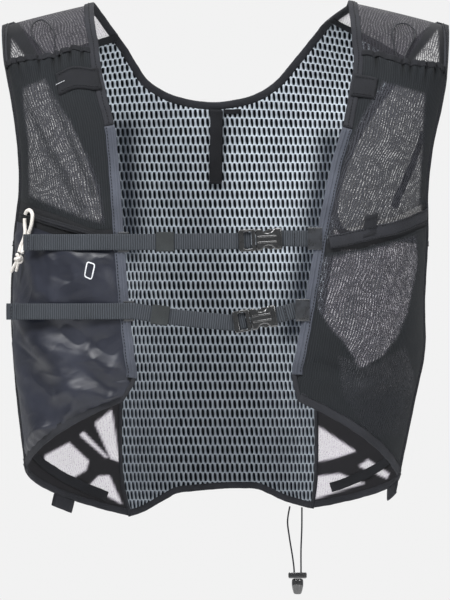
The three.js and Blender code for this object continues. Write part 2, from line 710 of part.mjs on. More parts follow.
// Air mesh below the yokes, the neckline and the armholes, down to the hem
const SEAM_DROP = 0.06;
const SEAM_COLUMNS = 3;
const seamLine = hand => {
  const outer = alongEdge(back, backEdgeOf[hand], [yokeEnd], armInset)[0];
  const inner = neckOfYoke[hand][YOKE_ROWS];
  return steps(SEAM_COLUMNS, t => [mix(outer[0], inner[0], t), mix(outer[1], inner[1], t)]);
};
const seams = { left: seamLine('left'), right: seamLine('right') };
const dropped = list => list.map(([u, v]) => [u, v + SEAM_DROP]);
const panelTop = [
  ...dropped(seams.left).slice(0, -1),
  ...neckInside.slice(YOKE_ROWS, YOKE_ROWS + NECK_COLUMNS + 1),
  ...dropped(seams.right).reverse().slice(1),
];
const hemline = outline(BACK_HEM);
const backColumns = panelTop.length - 1;
const hemEdge = steps(backColumns, t => back.locate(...hemline(t)));
const panelEnd = besideOutline(back, hemEdge, HEM_WIDTH + SEAM_GAP);
const BACK_ROWS = 14;
const sideTop = sides.left.backTop;
const cornerRow = (() => {
  const corner = back.at(0, sideTop);
  let v = sideTop;
  while (back.at(0, v).distanceTo(corner) < armInset) v += 0.005;
  return v;
})();
const cornerShare = (cornerRow - panelTop[0][1]) / (panelEnd[0][1] - panelTop[0][1]);
const panelShares = [...rowsBetween(0, 1, BACK_ROWS), cornerShare, cornerShare + 0.006].sort((a, b) => a - b)
  .filter((t, i, list) => i === 0 || t === cornerShare || Math.abs(t - list[i - 1]) > 0.005);
const edgeGap = t => (t <= cornerShare ? armInset : SEAM_GAP);
const panelGrid = panelShares.map(t => panelTop.map((top, i) => {
  const v = mix(top[1], panelEnd[i][1], t);
  const low = back.inset(0, v, edgeGap(t));
  const high = back.inset(1, v, edgeGap(t));
  if (i === 0) return [low, v];
  if (i === backColumns) return [high, v];
  return [THREE.MathUtils.clamp(mix(top[0], panelEnd[i][0], t), low + 0.01 * i, high - 0.01 * (backColumns - i)), v];
}));
add('back_panel', cloth(back, panelGrid, -AIR_MESH_THICKNESS / 2, AIR_MESH_THICKNESS), COLOURS.airMesh, 0.9);

// Tapes over the seams between yokes and air mesh, on the inside of the vest
['left', 'right'].forEach(hand => {
  const path = pathOn(back, seams[hand]);
  const inside = -AIR_MESH_THICKNESS / 2 - SEAM_TAPE_GAP - TAPE_THICKNESS;
  add(`yoke_seam_${hand}`, tape(path, -SEAM_TAPE_WIDTH / 2, SEAM_TAPE_WIDTH / 2, inside, TAPE_THICKNESS),
    COLOURS.binding, 0.85);
});

// Fronts, each with its tapes: inner edge, rail, outer edge down to the side hem, and front hem
const TAPE_ROW_GAP = 0.02;
['left', 'right'].forEach(hand => {
  const front = fronts[hand];
  const railTop = front.rowAt(0, RAIL[hand].top);
  const railEnd = front.rowAt(0, RAIL[hand].end);
  const panelEndAt = u => front.rowInset(u, front.last, FRONT_HEM_WIDTH + SEAM_GAP);

  // The rows share their stations with the tapes beside them; below the rail the cloth widens to the edge
  const innerEnd = panelEndAt(0);
  const railShare = (railEnd + TAPE_ROW_GAP - SHOULDER_GAP) / (innerEnd - SHOULDER_GAP);
  const shares = [...rowsBetween(0, 1, FRONT_ROWS).filter(t => Math.abs(t - railShare) > 0.02), railShare]
    .sort((a, b) => a - b);
  const rowsAt = u => {
    const bottom = panelEndAt(u);
    return shares.map(t => mix(SHOULDER_GAP, bottom, t));
  };
  const innerRows = rowsAt(0);
  const outerRows = rowsAt(1);
  const sideClear = SEAM_GAP + BINDING_WIDTH;
  const innerClear = v => {
    const below = THREE.MathUtils.clamp((v - railEnd - TAPE_ROW_GAP) / (front.last - railEnd), 0, 1);
    return FRONT_EDGE_WIDTH * (1 - Math.sqrt(below)) + SEAM_GAP;
  };
  const clearEdge = v => front.inset(0, v, innerClear(v));
  const clearSide = v => front.inset(1, v, sideClear);

  const PANEL_COLUMNS = 7;
  const columnRows = steps(PANEL_COLUMNS, rowsAt);
  const grid = shares.map((_, j) => steps(PANEL_COLUMNS, s => {
    const v = columnRows[Math.round(s * PANEL_COLUMNS)][j];
    return [mix(clearEdge(v), clearSide(v), s), v];
  }));
  add(`front_panel_${hand}`, cloth(front, grid, -halfMesh, MESH_THICKNESS), COLOURS.sheer, 0.8);

  const edgeTape = (name, rows, edge, width, thickness, colour, roughness) => {
    const tapeSides = [0, width].map(distance => alongEdge(front, edge, rows, distance));
    add(`${name}_${hand}`, folded(front, ...tapeSides, thickness), colour, roughness);
  };
  const above = innerRows.filter(v => v < railTop - 0.1);
  const beside = innerRows.filter(v => v > railTop + 0.1 && v < railEnd - 0.1);
  edgeTape('front_edge', [...above, railTop - TAPE_ROW_GAP], 0, FRONT_EDGE_WIDTH, BINDING_THICKNESS,
    COLOURS.binding, 0.85);
  edgeTape('rail', [railTop, ...beside, railEnd], 0, FRONT_EDGE_WIDTH, RAIL_THICKNESS, COLOURS.rail, 0.5);
  edgeTape('armhole_binding_front', [...outerRows, front.last], 1, BINDING_WIDTH, BINDING_THICKNESS,
    COLOURS.binding, 0.85);

  const hemGrid = [FRONT_HEM_WIDTH, 0].map(distance => steps(PANEL_COLUMNS, s => {
    const v = distance === 0 ? front.last : front.rowInset(s, front.last, distance);
    return [mix(0, clearSide(v), s), v];
  }));
  add(`front_hem_${hand}`, cloth(front, hemGrid, -TAPE_THICKNESS / 2, TAPE_THICKNESS), COLOURS.binding, 0.85);

  // Pockets lie over the front, between its tapes; the puff is highest in the middle
  const placesOf = list => list.map(([across, down]) => front.locate(across, down));
  const rowOf = list => {
    const places = placesOf(list);
    return u => {
      let low = 0;
      let high = 1;
      for (let k = 0; k < 24; k++) {
        const middle = (low + high) / 2;
        if (smoothList(places, middle)[0] < u) low = middle;
        else high = middle;
      }
      return smoothList(places, low)[1];
    };
  };
  const pocketPlace = (topRow, endRow) => (s, t) => {
    const v = mix(topRow(s), endRow(s), t);
    const low = front.inset(0, v, innerClear(v) - SEAM_GAP + POCKET_SIDE_GAP);
    const high = front.inset(1, v, BINDING_WIDTH + POCKET_SIDE_GAP);
    return [mix(low, high, s), v];
  };
  const pocketGrid = (place, columnCount, rowCount) => steps(rowCount, t => steps(columnCount, s => place(s, t)));

  const fading = t => Math.max(0, 1 - t * GATHER_FADE);
  const gathers = (s, t) => fading(t) * GATHER_HEIGHT * (1 - Math.cos(s * GATHER_COUNT * 2 * Math.PI));
  const puff = (s, t) => POCKET_PUFF * Math.sin(Math.PI * s) * Math.sin(Math.PI * Math.min(t + PUFF_START, 1));
  const upper = UPPER_POCKET[hand];
  const upperPlace = pocketPlace(rowOf(upper.top), rowOf(upper.bottom));
  add(`upper_pocket_${hand}`, cloth(front, pocketGrid(upperPlace, GATHER_COUNT * 4, 6),
    (s, t) => overMesh + gathers(s, t) + puff(s, t), MESH_THICKNESS), COLOURS.stretch, 0.85);

  const nylon = hand === 'left';
  const folds = (s, t) => FOLD_HEIGHT * (nylon ? 1 - Math.cos((s * 1.4 + t * 2.6) * 2 * Math.PI) : 0)
    * Math.sin(Math.PI * s) * Math.sin(Math.PI * t);
  const pocketEnd = u => front.rowInset(u, front.last, FRONT_HEM_WIDTH + POCKET_SIDE_GAP);
  const lowerPlace = pocketPlace(rowOf(LOWER_POCKET[hand].top), pocketEnd);
  add(`lower_pocket_${hand}`, cloth(front, pocketGrid(lowerPlace, 8, 11),
    (s, t) => overMesh + puff(s, t) * LOWER_PUFF + folds(s, t),
    nylon ? NYLON_THICKNESS : MESH_THICKNESS), nylon ? COLOURS.nylon : COLOURS.stretch, nylon ? 0.35 : 0.85);

  // Tabs over the pocket, clear of its gathers
  POCKET_TABS[hand].forEach(tab => {
    const shareAt = (i, j) => [mix(tab.inner, tab.outer, i), mix(tab.top, tab.bottom, j)];
    const patch = steps(2, j => steps(4, i => upperPlace(...shareAt(i, j))));
    const over = (i, j) => {
      const [s, t] = shareAt(i, j);
      return overMesh + 2 * GATHER_HEIGHT * fading(t) + puff(s, t) + MESH_THICKNESS + LAYER_GAP;
    };
    add(`${tab.name}_${hand}`, cloth(front, patch, over, TAB_THICKNESS), COLOURS.black, 0.8);
  });

  // The tape between the two pockets
  const middlePlaces = placesOf(nylon ? ZIP_LEFT : BAND_RIGHT);
  const middlePath = pathOn(front, steps(8, t => smoothList(middlePlaces, t)));
  const middleWidth = nylon ? ZIP_WIDTH : POCKET_BAND_WIDTH;
  add(nylon ? 'pocket_zip_left' : 'pocket_band_right',
    tape(middlePath, -middleWidth / 2, middleWidth / 2, overMesh, TAPE_THICKNESS), COLOURS.binding, 0.8);
});

// Sides from the air mesh to the fronts, with the tapes that cross them near the hem
['left', 'right'].forEach(hand => {
  const side = sides[hand];
  const low = side.inset(0, 0.5, SEAM_GAP);
  const high = side.inset(1, 0.5, SEAM_GAP);
  const stations = steps(8, t => mix(low, high, t));
  const top = stations.map(u => [u, side.rowInset(u, 0, armInset)]);
  const end = stations.map(u => [u, side.rowInset(u, 1, HEM_WIDTH + SEAM_GAP)]);
  const grid = ruled(t => top[Math.round(t * 8)], t => end[Math.round(t * 8)], 8, 9);
  add(`side_panel_${hand}`, cloth(side, grid, -halfMesh, MESH_THICKNESS), COLOURS.sheer, 0.8);
  const strapPath = pathOn(side, steps(8, t => [
    mix(SIDE_STRAP.inner, SIDE_STRAP.outer, t), mix(SIDE_STRAP.innerRow, SIDE_STRAP.outerRow, t)]));
  add(`side_strap_${hand}`, tape(strapPath, -SIDE_STRAP_WIDTH / 2, SIDE_STRAP_WIDTH / 2,
    -overMesh - TAPE_THICKNESS, TAPE_THICKNESS), COLOURS.binding, 0.85);

  // The armhole tape comes down the edges of yoke and air mesh and runs forward along the top of the side
  const edge = backEdgeOf[hand];
  const panelRows = panelShares.filter(t => t < cornerShare).map(t => mix(panelTop[0][1], panelEnd[0][1], t));
  const downRows = [...yokeRows, ...panelRows]
    .filter((v, i, list) => v < sideTop && (i === 0 || v > list[i - 1] + TAPE_ROW_GAP));
  const downTape = clothPoints(back,
    [alongEdge(back, edge, downRows, 0), alongEdge(back, edge, downRows, BINDING_WIDTH)],
    -BINDING_THICKNESS / 2, BINDING_THICKNESS);
  const topStations = stations.slice(0, -1).concat(side.inset(1, 0, SEAM_GAP));
  const acrossTape = clothPoints(side,
    [topStations.map(u => [u, 0]), topStations.map(u => [u, side.rowInset(u, 0, BINDING_WIDTH)])],
    -BINDING_THICKNESS / 2, BINDING_THICKNESS);
  const joined = downTape.map((layer, k) => layer.map((row, j) => [...row, ...acrossTape[k][j]]));
  add(`armhole_binding_back_${hand}`, slab(...joined), COLOURS.binding, 0.85);
});

// Hem tape: along the left side, over the back and along the right side
const hemStations = steps(8, t => mix(0.02, 0.99, t));
const sideHemPoints = hand => clothPoints(sides[hand], [
  hemStations.map(u => [u, 1]),
  hemStations.map(u => [u, sides[hand].rowInset(u, 1, HEM_WIDTH)]),
], -BINDING_THICKNESS / 2, BINDING_THICKNESS);
const backHemPoints = clothPoints(back, [hemEdge, besideOutline(back, hemEdge, HEM_WIDTH)],
  -BINDING_THICKNESS / 2, BINDING_THICKNESS);
const leftHem = sideHemPoints('left').map(layer => layer.map(row => [...row].reverse()));
const rightHem = sideHemPoints('right');
add('hem_binding', slab(...[0, 1].map(k => [0, 1].map(
  j => [...leftHem[k][j], ...backHemPoints[k][j], ...rightHem[k][j]]))), COLOURS.binding, 0.85);

// Chest straps, hooks, keepers and buckles

// A frame whose first axis runs along a piece, second up its height and third out of its face
const placed = (geometry, origin, first, second, third) => outward(
  bare(geometry).applyMatrix4(new THREE.Matrix4().makeBasis(first, second, third).setPosition(origin)));
const UP = new THREE.Vector3(0, 0, 1);
const RAIL_FACE = RAIL_THICKNESS / 2 + FIT_GAP;
const STRAP_MID = RAIL_FACE + HOOK_PLATE + FIT_GAP + WEBBING_THICKNESS / 2;

// The place on a rail's inner edge at a share of LENGTH down, with axes onto the rail, up and outward
function railSeat(hand, down) {
  const front = fronts[hand];
  const v = front.rowAt(0, down);
  const out = front.normal(front.inset(0, v, FRONT_EDGE_WIDTH / 2), v);
  const up = UP.clone().addScaledVector(out, -UP.dot(out)).normalize();
  const onto = new THREE.Vector3().crossVectors(up, out).multiplyScalar(hand === 'right' ? 1 : -1);
  return { point: front.at(0, v), out, up, onto };
}

// A hook clips over the inner edge of a rail; a right hook also has a slot for the short strap's end
const HOOK_BACK = RAIL_FACE + HOOK_WALL;
const HOOK_START = HOOK_EDGE_CLEAR + HOOK_WALL;
function hook(hand, name, down) {
  const seat = railSeat(hand, down);
  const face = RAIL_FACE + HOOK_PLATE;
  const grip = [[HOOK_GRIP_BACK, -HOOK_BACK], [HOOK_GRIP_BACK, -RAIL_FACE], [-HOOK_EDGE_CLEAR, -RAIL_FACE],
    [-HOOK_EDGE_CLEAR, RAIL_FACE], [HOOK_GRIP, RAIL_FACE], [HOOK_GRIP, face]];
  const slotStart = HOOK_START + HOOK_SLOT_DEPTH;
  const slotHalf = SHORT_STRAP_LAYERS * WEBBING_THICKNESS / 2 + HOOK_SLOT_CLEAR;
  const slotFace = slotHalf + HOOK_WALL;
  const end = hand === 'left'
    ? [[-HOOK_START, face], [-HOOK_START, -HOOK_BACK]]
    : [[-HOOK_START, face], [-HOOK_START, slotFace], [-slotStart, slotFace], [-slotStart, slotHalf],
      [-HOOK_START, slotHalf], [-HOOK_START, -slotHalf], [-slotStart, -slotHalf], [-slotStart, -slotFace],
      [-HOOK_START, -slotFace], [-HOOK_START, -HOOK_BACK]];
  const outlinePoints = [...grip, ...end].filter(([x, y], i, list) => {
    const [nextX, nextY] = list[(i + 1) % list.length];
    return Math.hypot(nextX - x, nextY - y) > 1e-6;
  });
  const height = hand === 'left' ? HOOK_HEIGHT_LEFT : HOOK_HEIGHT;
  const geometry = plate(outlinePoints, [], -height / 2, height);
  add(name, placed(geometry, seat.point, seat.onto, seat.out, seat.up), COLOURS.plastic, 0.35);
  return seat;
}

// Side-release buckle, in along, height and depth from the middle of the strap's left end in it
const STRAP_HALF = WEBBING_WIDTH / 2 + FIT_GAP;
const BUCKLE_HALF = STRAP_HALF + BUCKLE_SIDE;
const FACE = WEBBING_THICKNESS / 2 + FIT_GAP;
const BASE_START = LADDER_LENGTH;
const BODY_START = BASE_START + LADDER_BASE;
function buckleMale() {
  const bars = [
    block([0, -BUCKLE_HALF, FACE], [LADDER_BAR, BUCKLE_HALF, FACE + LADDER_THICKNESS]),
    block([LADDER_LENGTH / 2, -BUCKLE_HALF, -FACE - LADDER_CROSS],
      [LADDER_LENGTH / 2 + LADDER_CROSS, BUCKLE_HALF, -FACE]),
    block([BASE_START, -BUCKLE_HALF, -FACE - LADDER_CROSS], [BODY_START, BUCKLE_HALF, FACE + LADDER_THICKNESS]),
    ...[-1, 1].map(sign => {
      const [low, high] = [sign * STRAP_HALF, sign * BUCKLE_HALF].sort((a, b) => a - b);
      return block([0, low, -FACE - LADDER_CROSS], [BASE_START, high, FACE + LADDER_THICKNESS]);
    }),
    block([BODY_START, -PRONG_HALF, -PRONG_THICKNESS / 2],
      [BODY_START + PRONG_BASE, PRONG_HALF, PRONG_THICKNESS / 2]),
    ...[-1, 1].map(sign => plate([
      [BODY_START, sign * (PRONG_HALF - PRONG_WIDTH)], [BODY_START, sign * PRONG_HALF],
      [BODY_START + PRONG_LENGTH * 0.62, sign * PRONG_HALF],
      [BODY_START + PRONG_LENGTH * 0.72, sign * (PRONG_HALF + PRONG_BARB)],
      [BODY_START + PRONG_LENGTH, sign * (PRONG_HALF - PRONG_WIDTH * 0.4)],
      [BODY_START + PRONG_LENGTH, sign * (PRONG_HALF - PRONG_WIDTH)],
    ], [], -PRONG_THICKNESS / 2, PRONG_THICKNESS)),
  ];
  return carve(bars[0], bars.slice(1), []);
}

function buckleFemale() {
  const start = BODY_START + FIT_GAP;
  const halfDepth = BUCKLE_THICKNESS / 2;
  const shell = plate(softRectangle(start, -BUCKLE_HALF, BUCKLE_LENGTH, BUCKLE_HALF, BUCKLE_CUT), [], -halfDepth,
    BUCKLE_THICKNESS);
  const cavityEnd = BODY_START + PRONG_LENGTH + 2 * FIT_GAP;
  const clear = PRONG_THICKNESS / 2 + FIT_GAP;
  const cavityHalf = PRONG_HALF + FIT_GAP;
  const cavity = block([start - 1, -cavityHalf, -clear], [cavityEnd, cavityHalf, clear]);
  const notchStart = BODY_START + PRONG_LENGTH * 0.55;
  const notches = [-1, 1].map(sign => {
    const [low, high] = [sign * (cavityHalf - 1), sign * (BUCKLE_HALF + 1)].sort((a, b) => a - b);
    return block([notchStart, low, -halfDepth - 1], [cavityEnd - 0.5, high, halfDepth + 1]);
  });
  const slotHalf = SHORT_STRAP_LAYERS * WEBBING_THICKNESS / 2 + FIT_GAP;
  const slot = block([BUCKLE_LENGTH - BUCKLE_SLOT, -STRAP_HALF, -slotHalf],
    [BUCKLE_LENGTH + 1, STRAP_HALF, slotHalf]);
  const ridges = Array.from({ length: RIDGE_COUNT }, (_, i) => {
    const middle = start + (i + 1) * RIDGE_PITCH;
    return block([middle - RIDGE_WIDTH / 2, -RIDGE_REACH, halfDepth - 0.2],
      [middle + RIDGE_WIDTH / 2, RIDGE_REACH, halfDepth + RIDGE_HEIGHT]);
  });
  return carve(shell, ridges, [cavity, ...notches, slot]);
}

// An elastic keeper is a sleeve round the strap
function keeper() {
  const inner = [WEBBING_WIDTH / 2 + FIT_GAP, WEBBING_THICKNESS / 2 + FIT_GAP];
  const outer = inner.map(half => half + KEEPER_THICKNESS);
  const band = plate(rectangle(-outer[0], -outer[1], outer[0], outer[1]),
    [rectangle(-inner[0], -inner[1], inner[0], inner[1])], -KEEPER_LENGTH / 2, KEEPER_LENGTH);
  return band;
}

const STRAPS = columns(['name', 'leftDown', 'buckle', 'rightDown', 'standoff', 'tail', 'keeper'], [
  ['upper', UPPER_DOWN, UPPER_BUCKLE, UPPER_HOOK_DOWN, UPPER_STANDOFF, TAIL_UPPER, 0.33],
  ['lower', LOWER_DOWN, LOWER_BUCKLE, LOWER_HOOK_DOWN, LOWER_STANDOFF, TAIL_LOWER, 0.26],
]);

STRAPS.forEach(strap => {
  const leftSeat = hook('left', `hook_left_${strap.name}`, strap.leftDown);
  const rightSeat = hook('right', `hook_right_${strap.name}`, strap.rightDown);
  const leftFront = fronts.left;

  // Over the pocket to the rail
  const onPocket = [
    [-0.733, strap.standoff], [-0.644, strap.standoff], [-0.57, mix(strap.standoff, STRAP_MID, 0.5)],
  ].map(([across, lift]) => {
    const [u, v] = leftFront.locate(across, strap.leftDown);
    return leftFront.at(u, v).addScaledVector(leftFront.normal(u, v), lift);
  });
  const railPoint = leftSeat.point.clone().addScaledVector(leftSeat.onto, FRONT_EDGE_WIDTH / 2)
    .addScaledVector(leftSeat.out, STRAP_MID);
  const edgePoint = leftSeat.point.clone().addScaledVector(leftSeat.onto, -HOOK_START)
    .addScaledVector(leftSeat.out, STRAP_MID);
  const tailTurn = turn => new THREE.Vector3(-Math.cos(turn), Math.sin(turn), 0);
  const tailMiddle = onPocket[0].clone().addScaledVector(tailTurn(TAIL_TURN / 2), strap.tail / 2);
  const tailEnd = tailMiddle.clone().addScaledVector(tailTurn(TAIL_TURN), strap.tail / 2);

  // Across the chest: the buckle hangs on the line between the left rail and the right hook's slot
  const slotPoint = rightSeat.point.clone().addScaledVector(rightSeat.onto, -HOOK_START - HOOK_SLOT_DEPTH + SLOT_REACH);
  const buckleX = strap.buckle.across * HALF_WIDTH;
  const depthAt = x => mix(edgePoint.y, slotPoint.y, (x - edgePoint.x) / (slotPoint.x - edgePoint.x));
  const slope = (slotPoint.y - edgePoint.y) / (slotPoint.x - edgePoint.x);
  const buckleStart = new THREE.Vector3(buckleX, depthAt(buckleX), -strap.buckle.down * LENGTH);
  const level = Math.cos(strap.buckle.tilt);
  const along = new THREE.Vector3(level, level * slope, Math.sin(strap.buckle.tilt)).normalize();
  const faceOut = new THREE.Vector3(slope, -1, 0).normalize();
  const height = new THREE.Vector3().crossVectors(faceOut, along).normalize();
  const buckleAxes = [buckleStart, along, height, faceOut];
  add(`buckle_male_${strap.name}`, placed(buckleMale(), ...buckleAxes), COLOURS.plastic, 0.3);
  add(`buckle_female_${strap.name}`, placed(buckleFemale(), ...buckleAxes), COLOURS.plastic, 0.3);

  const inBuckle = buckleStart.clone().addScaledVector(along, BASE_START - FIT_GAP);
  const curvePoints = [tailEnd, tailMiddle, ...onPocket, railPoint, edgePoint];
  const curve = new THREE.CatmullRomCurve3(curvePoints, false, 'centripetal');
  const leftPart = steps(16, t => curve.getPoint(t));
  const chest = [0.2, 0.4, 0.6, 0.8].map(t => {
    const p = edgePoint.clone().lerp(buckleStart, t);
    p.z -= strap.name === 'lower' ? LOWER_SAG * Math.sin(Math.PI * t) : 0;
    return p;
  });
  const strapPoints = [...leftPart, ...chest, buckleStart, inBuckle];
  const withNormals = strapPoints.map((point, i) => {
    const before = strapPoints[Math.max(i - 1, 0)];
    const after = strapPoints[Math.min(i + 1, strapPoints.length - 1)];
    const direction = after.clone().sub(before).normalize();
    const level = UP.clone().addScaledVector(direction, -UP.dot(direction)).normalize();
    return { point, normal: new THREE.Vector3().crossVectors(direction, level).normalize(), level, direction };
  });
  const halfWeb = WEBBING_WIDTH / 2;
  add(`strap_${strap.name}`, tape(withNormals, -halfWeb, halfWeb, -WEBBING_THICKNESS / 2, WEBBING_THICKNESS),
    COLOURS.webbing, 0.8);

  const keeperPoint = edgePoint.clone().lerp(buckleStart, strap.keeper);
  const seatAt = withNormals[leftPart.length + Math.round(strap.keeper * 5) - 1];
  keeperPoint.z = seatAt.point.z + (keeperPoint.x - seatAt.point.x) * seatAt.direction.z / seatAt.direction.x;
  add(`keeper_${strap.name}`, placed(keeper(), keeperPoint, seatAt.level, seatAt.normal,
    new THREE.Vector3().crossVectors(seatAt.level, seatAt.normal)), COLOURS.binding, 0.85);

  const fromBuckle = buckleStart.clone().addScaledVector(along, BUCKLE_LENGTH - BUCKLE_SLOT + FIT_GAP);
  const mouth = buckleStart.clone().addScaledVector(along, BUCKLE_LENGTH);
  const shortPoints = [fromBuckle, mouth, ...[0.33, 0.66, 1].map(t => mouth.clone().lerp(slotPoint, t))];
  const shortPath = shortPoints.map((point, i) => {
    const before = shortPoints[Math.max(i - 1, 0)];
    const after = shortPoints[Math.min(i + 1, shortPoints.length - 1)];
    const direction = after.clone().sub(before).normalize();
    const level = UP.clone().addScaledVector(direction, -UP.dot(direction)).normalize();
    return { point, normal: new THREE.Vector3().crossVectors(direction, level).normalize() };
  });
  const shortThickness = SHORT_STRAP_LAYERS * WEBBING_THICKNESS;
  add(`strap_${strap.name}_right`, tape(shortPath, -halfWeb, halfWeb, -shortThickness / 2, shortThickness),
    COLOURS.webbing, 0.8);
});

// Hang loop and label on the inside of the back, below the neck
const insideLift = AIR_MESH_THICKNESS / 2 + LAYER_GAP;
const loopPoint = (downMm, lift) => {
  const [u, v] = back.locate(HANG_LOOP.across, HANG_LOOP.down + downMm / LENGTH);
  return back.at(u, v).addScaledVector(back.normal(u, v), -lift);
};
const strand = lift => steps(5, t => loopPoint(t * (HANG_LOOP_LENGTH - HANG_LOOP_OPEN), lift));
const backLift = insideLift + HANG_LOOP_THICKNESS / 2;
const frontLift = backLift + HANG_LOOP_OPEN;
const bend = steps(4, t => loopPoint(
  HANG_LOOP_LENGTH - HANG_LOOP_OPEN + HANG_LOOP_OPEN / 2 * Math.sin(Math.PI * t),
  (backLift + frontLift) / 2 - HANG_LOOP_OPEN / 2 * Math.cos(Math.PI * t)));
const loopPoints = [...strand(backLift), ...bend.slice(1, -1), ...strand(frontLift).reverse()];
const ACROSS = new THREE.Vector3(1, 0, 0);
const loopPath = loopPoints.map((point, i) => {
  const before = loopPoints[Math.max(i - 1, 0)];
  const after = loopPoints[Math.min(i + 1, loopPoints.length - 1)];
  return { point, normal: new THREE.Vector3().crossVectors(after.clone().sub(before), ACROSS).normalize() };
});
add('hang_loop', tape(loopPath, -HANG_LOOP_WIDTH / 2, HANG_LOOP_WIDTH / 2, -HANG_LOOP_THICKNESS / 2,
  HANG_LOOP_THICKNESS), COLOURS.black, 0.8);
const labelPath = pathOn(back, steps(2, t => back.locate(
  LABEL.across + (t - 0.5) * LABEL_WIDTH / HALF_WIDTH, LABEL.down)));
add('neck_label', tape(labelPath, -LABEL_HEIGHT / 2, LABEL_HEIGHT / 2, -insideLift - LABEL_THICKNESS,
  LABEL_THICKNESS), COLOURS.black, 0.8);

// Tabs on the hem, below the side panels
['left', 'right'].forEach(hand => {
  const spot = HEM_TAB[hand];
  const ends = hand === 'left' ? [spot.outer, spot.inner] : [spot.inner, spot.outer];
  const path = pathOn(sides[hand], steps(3, t => [mix(...ends, t), 1]));
  add(`hem_tab_${hand}`, tape(path, -HEM_TAB_LENGTH - FIT_GAP, -FIT_GAP, -TAB_THICKNESS / 2, TAB_THICKNESS),
    COLOURS.binding, 0.85);
});

// Cords. Their routes are points chosen by hand, in millimetres from the origin
const vector = ([x, y, z]) => new THREE.Vector3(x, y, z);
CORDS.forEach(cord => add(cord.name, cordTube(cord.route.map(vector), cord.diameter, cord.steps),
  cord.white ? COLOURS.cord : COLOURS.black, 0.9));

// A closed body of rings round an axis; the profile is in distance along the axis and radius
const turned = profile => bare(new THREE.LatheGeometry(
  profile.map(([along, radius]) => new THREE.Vector2(radius, along)), ROUND_SIDES));
const LENGTHWISE = new THREE.Vector3(0, 1, 0);
const alongAxis = (geometry, from, to) => {
  const axis = to.clone().sub(from).normalize();
  geometry.applyQuaternion(new THREE.Quaternion().setFromUnitVectors(LENGTHWISE, axis));
  geometry.translate(from.x, from.y, from.z);
  return geometry;
};
const knotStart = vector(KNOT.top);
const knotAxis = vector(KNOT.end).sub(knotStart).normalize();
const knotEnd = knotStart.clone().addScaledVector(knotAxis, KNOT_LENGTH + CORD_TAIL_LENGTH);
const knotRadius = KNOT_DIAMETER / 2;
const tailRadius = PULL_CORD_DIAMETER * 0.95;
add('pull_cord_knot', alongAxis(turned([
  [0, 0], [0, knotRadius * 0.55], [KNOT_LENGTH * 0.2, knotRadius * 0.9], [KNOT_LENGTH * 0.5, knotRadius],
  [KNOT_LENGTH * 0.85, knotRadius * 0.85], [KNOT_LENGTH, tailRadius],
  [KNOT_LENGTH + CORD_TAIL_LENGTH, tailRadius * 0.9], [KNOT_LENGTH + CORD_TAIL_LENGTH, 0],
]), knotStart, knotEnd), COLOURS.cord, 0.9);

// The cord lock grips both strands, which pass through it to the end piece
const lockMiddle = vector(CORD_LOCK.middle);
const strandBore = DRAWCORD_DIAMETER / 2 + FIT_GAP;
const lockBody = plate(softRectangle(-CORD_LOCK_LENGTH / 2, -CORD_LOCK_DEPTH / 2, CORD_LOCK_LENGTH / 2,
  CORD_LOCK_DEPTH / 2, CORD_LOCK_DEPTH * 0.25), [], -CORD_LOCK_HEIGHT / 2, CORD_LOCK_HEIGHT);
const bores = [-1, 1].map(sign => block(
  [sign * CORD_LOCK_STRAND - strandBore, -strandBore, -CORD_LOCK_HEIGHT],
  [sign * CORD_LOCK_STRAND + strandBore, strandBore, CORD_LOCK_HEIGHT]));
const lock = carve(lockBody, [], bores);
lock.translate(lockMiddle.x, lockMiddle.y, lockMiddle.z);
add('cord_lock', lock, COLOURS.plastic, 0.35);

const endTop = vector(CORD_LOCK.middle).addScaledVector(UP, -CORD_LOCK_HEIGHT / 2 - FIT_GAP);
const endRadius = CORD_END_DIAMETER / 2;
add('cord_end', alongAxis(turned([
  [0, 0], [0, endRadius * 0.75], [CORD_END_LENGTH * 0.12, endRadius], [CORD_END_LENGTH * 0.5, endRadius],
  [CORD_END_LENGTH * 0.9, endRadius * 0.7], [CORD_END_LENGTH, endRadius * 0.45], [CORD_END_LENGTH, 0],
]), endTop, endTop.clone().addScaledVector(UP, -CORD_END_LENGTH)), COLOURS.plastic, 0.35);

export default vest;
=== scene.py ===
# %% [markdown]
# # A running hydration vest, step by step
# The real object is a race vest: an air-mesh back, sheer mesh shoulders and sides, two fronts with
# pockets, and two webbing straps with small buckles across the chest. It keeps the shape of the chest
# that it was made for. The CAD frame fixes every size, so each step here dresses one part of it in its
# real cloth. Loading the frame comes first, because everything else is placed by it.

# %% Load the frame
import math

import bmesh
import bpy
import numpy as np
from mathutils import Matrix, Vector
from mathutils.bvhtree import BVHTree


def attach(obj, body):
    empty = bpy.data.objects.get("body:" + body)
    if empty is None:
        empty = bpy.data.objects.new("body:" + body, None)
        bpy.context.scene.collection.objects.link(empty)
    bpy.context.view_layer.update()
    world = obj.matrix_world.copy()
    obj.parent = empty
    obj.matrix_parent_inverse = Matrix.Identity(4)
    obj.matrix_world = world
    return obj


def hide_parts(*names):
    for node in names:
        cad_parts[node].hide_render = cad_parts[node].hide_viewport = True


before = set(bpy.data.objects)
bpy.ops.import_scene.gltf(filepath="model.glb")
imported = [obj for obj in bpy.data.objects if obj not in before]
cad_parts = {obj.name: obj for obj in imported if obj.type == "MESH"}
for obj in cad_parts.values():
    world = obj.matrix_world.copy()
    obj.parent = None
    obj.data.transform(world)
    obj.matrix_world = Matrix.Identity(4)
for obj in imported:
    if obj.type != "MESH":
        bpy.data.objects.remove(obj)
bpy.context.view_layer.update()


# %% [markdown]
# ## The camera
# Product photographs are taken from far away with a long lens, so that near and far parts keep nearly
# the same scale. A camera twenty metres in front, level with the middle of the vest, does the same.

# %% Set up the camera
WORN_LENGTH = 0.460
HALF_WIDTH = 0.207
HALF_DEPTH = 0.105
CAMERA_DISTANCE = 20.0
VIEW_HEIGHT = 0.552
VIEW_MIDDLE = -0.2622
SENSOR = 24

